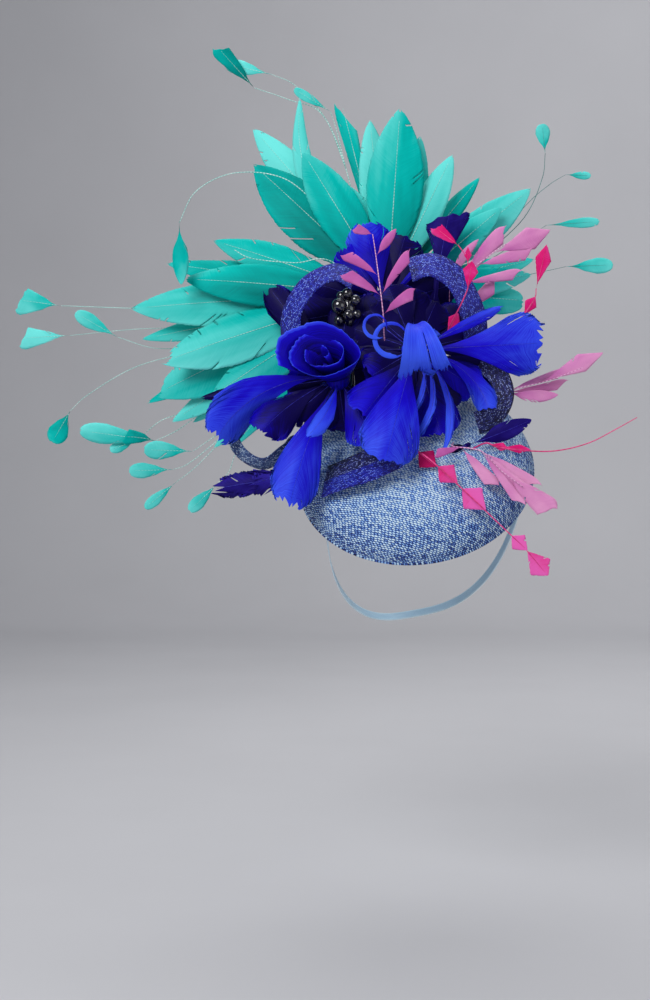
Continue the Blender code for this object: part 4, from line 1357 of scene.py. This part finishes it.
def elasticLook(name):
    look = Look(name)
    first, second, reach = look.attribute("weave")
    rib = (second * (2 * math.pi / elastic["ribEvery"])).wave()
    knit = (first * (2 * math.pi / elastic["knitEvery"]) + rib * 2).wave()
    patch = look.noise(look.combine(first / 30, second / 6, 0), 1, 2)
    light = rib * 0.3 + knit * 0.25 + reach ** 6 * 0.5 + (patch - 0.5) * 0.5 + 0.15
    colour = look.ramp(light, [(0, (132, 176, 202)), (0.5, (188, 224, 244)), (1, (236, 250, 255))])
    return look.wear(
        Base_Color=colour, Roughness=0.85 - rib * 0.2, Sheen_Weight=0.3,
        Normal=look.relief(rib * 0.6 + knit * 0.4, 0.6, 0.3),
    )


def threadLook(name):
    look = Look(name)
    line, along, _ = look.attribute("strand")
    ply = (along * 5 + line * 1.05).wave()
    colour = look.ramp(ply, [(0, (70, 98, 130)), (1, (150, 182, 205))])
    return look.wear(Base_Color=colour, Roughness=0.7 + ply * 0.1, Normal=look.relief(ply, 0.5, 0.15))


def paperLook(name, colour):
    look = Look(name)
    grain = look.noise(look.node("ShaderNodeTexCoord", {}, {}, "Object"), 3, 3)
    pale, deep = fromScreen(*colour), fromScreen(*[value - 8 for value in colour])
    return look.wear(Base_Color=look.mix(grain, deep, pale), Roughness=0.9)


def makeRoom():
    # a pale floor that curves up into a plain wall
    shape = newShape()
    start, curve, reach = studio["wallFrom"], studio["curve"], studio["reach"]
    bmesh.ops.create_grid(shape, x_segments=2, y_segments=40, size=1)
    for corner in shape.verts:
        part = (corner.co.y + 1) * 2.5   # the floor is up to 2, the bend up to 4 and the wall up to 5
        angle = math.pi / 4 * min(max(part - 2, 0), 2)
        back = start + curve * math.sin(angle) + (start + reach) * min(part / 2 - 1, 0)
        up = curve * (1 - math.cos(angle)) + reach * max(part - 4, 0)
        corner.co = (corner.co.x * studio["wide"] / 2, back, studio["floorLevel"] + up)
    newPiece("floor", shape, [paperLook("floorPaper", studio["floorColour"])])


# The whole piece
placeCamera()
placeLamps()
makeRoom()
print("camera, lamps and floor are in place")

makeBase(strawLook("denimStraw", denimWeave))
makeElastic(elasticLook("paleElastic"), threadLook("paleThread"))
loopLook = strawLook("blueStraw", blueWeave)
bandLook = strawLook("deepStraw", deepWeave)
loopLooks = {
    "band_front": [bandLook, loopLook], "loop_right": [bandLook],
    "loop_lower_left": [strawLook("steelStraw", steelWeave)],
}
for node, loop in loops.items():
    makeLoop(node, loop, loopLooks.get(node, [loopLook]))
makeBeads(beadLook("blackBead"))
print("base, elastic, straw loops and beads are made")

turquoiseLooks = plumageLooks("turquoise", turquoiseDye, turquoiseQuill)
# painted shade: a darker copy of the turquoise quill, for the quills on the right
dimLook = quillLook("dimQuill", dimQuill)
royalLooks = plumageLooks("royal", royalDye, royalQuill)
navyLooks = plumageLooks("navy", navyDye, royalQuill)
mauveLooks = plumageLooks("mauve", mauveDye, mauveQuill)
pinkLooks = plumageLooks("pink", pinkDye, pinkQuill)

for node, plume in fans.items():
    makePlume(node, plume, fanStyle, turquoiseLooks, "turquoise_feather")
print("turquoise fans are made")

for node, plume in flowers.items():
    isNavy = node in navyNodes
    looks, slot = (navyLooks, "navy_feather") if isNavy else (royalLooks, "royal_feather")
    style = {"navy_leaf": leafStyle, "blue_feather_low": raggedStyle}.get(node, petalStyle)
    makePlume(node, plume, style, looks, slot)
print("blue flowers are made")

for node, (foot, *stems) in quills.items():
    # the quills on the right get the darker quill, as painted shade
    looks = [turquoiseLooks[0], dimLook] if node == "quills_right" else turquoiseLooks
    makeStems(node, foot, stems, leafStyle, looks, "turquoise_feather")
for node, (foot, *stems) in fronds.items():
    makeStems(node, foot, stems, frondStyle, mauveLooks, "mauve_feather")
for node, (foot, *stems) in pinks.items():
    makeStems(node, foot, stems, flagStyle, pinkLooks, "pink_feather")
print("quills and fronds are made")
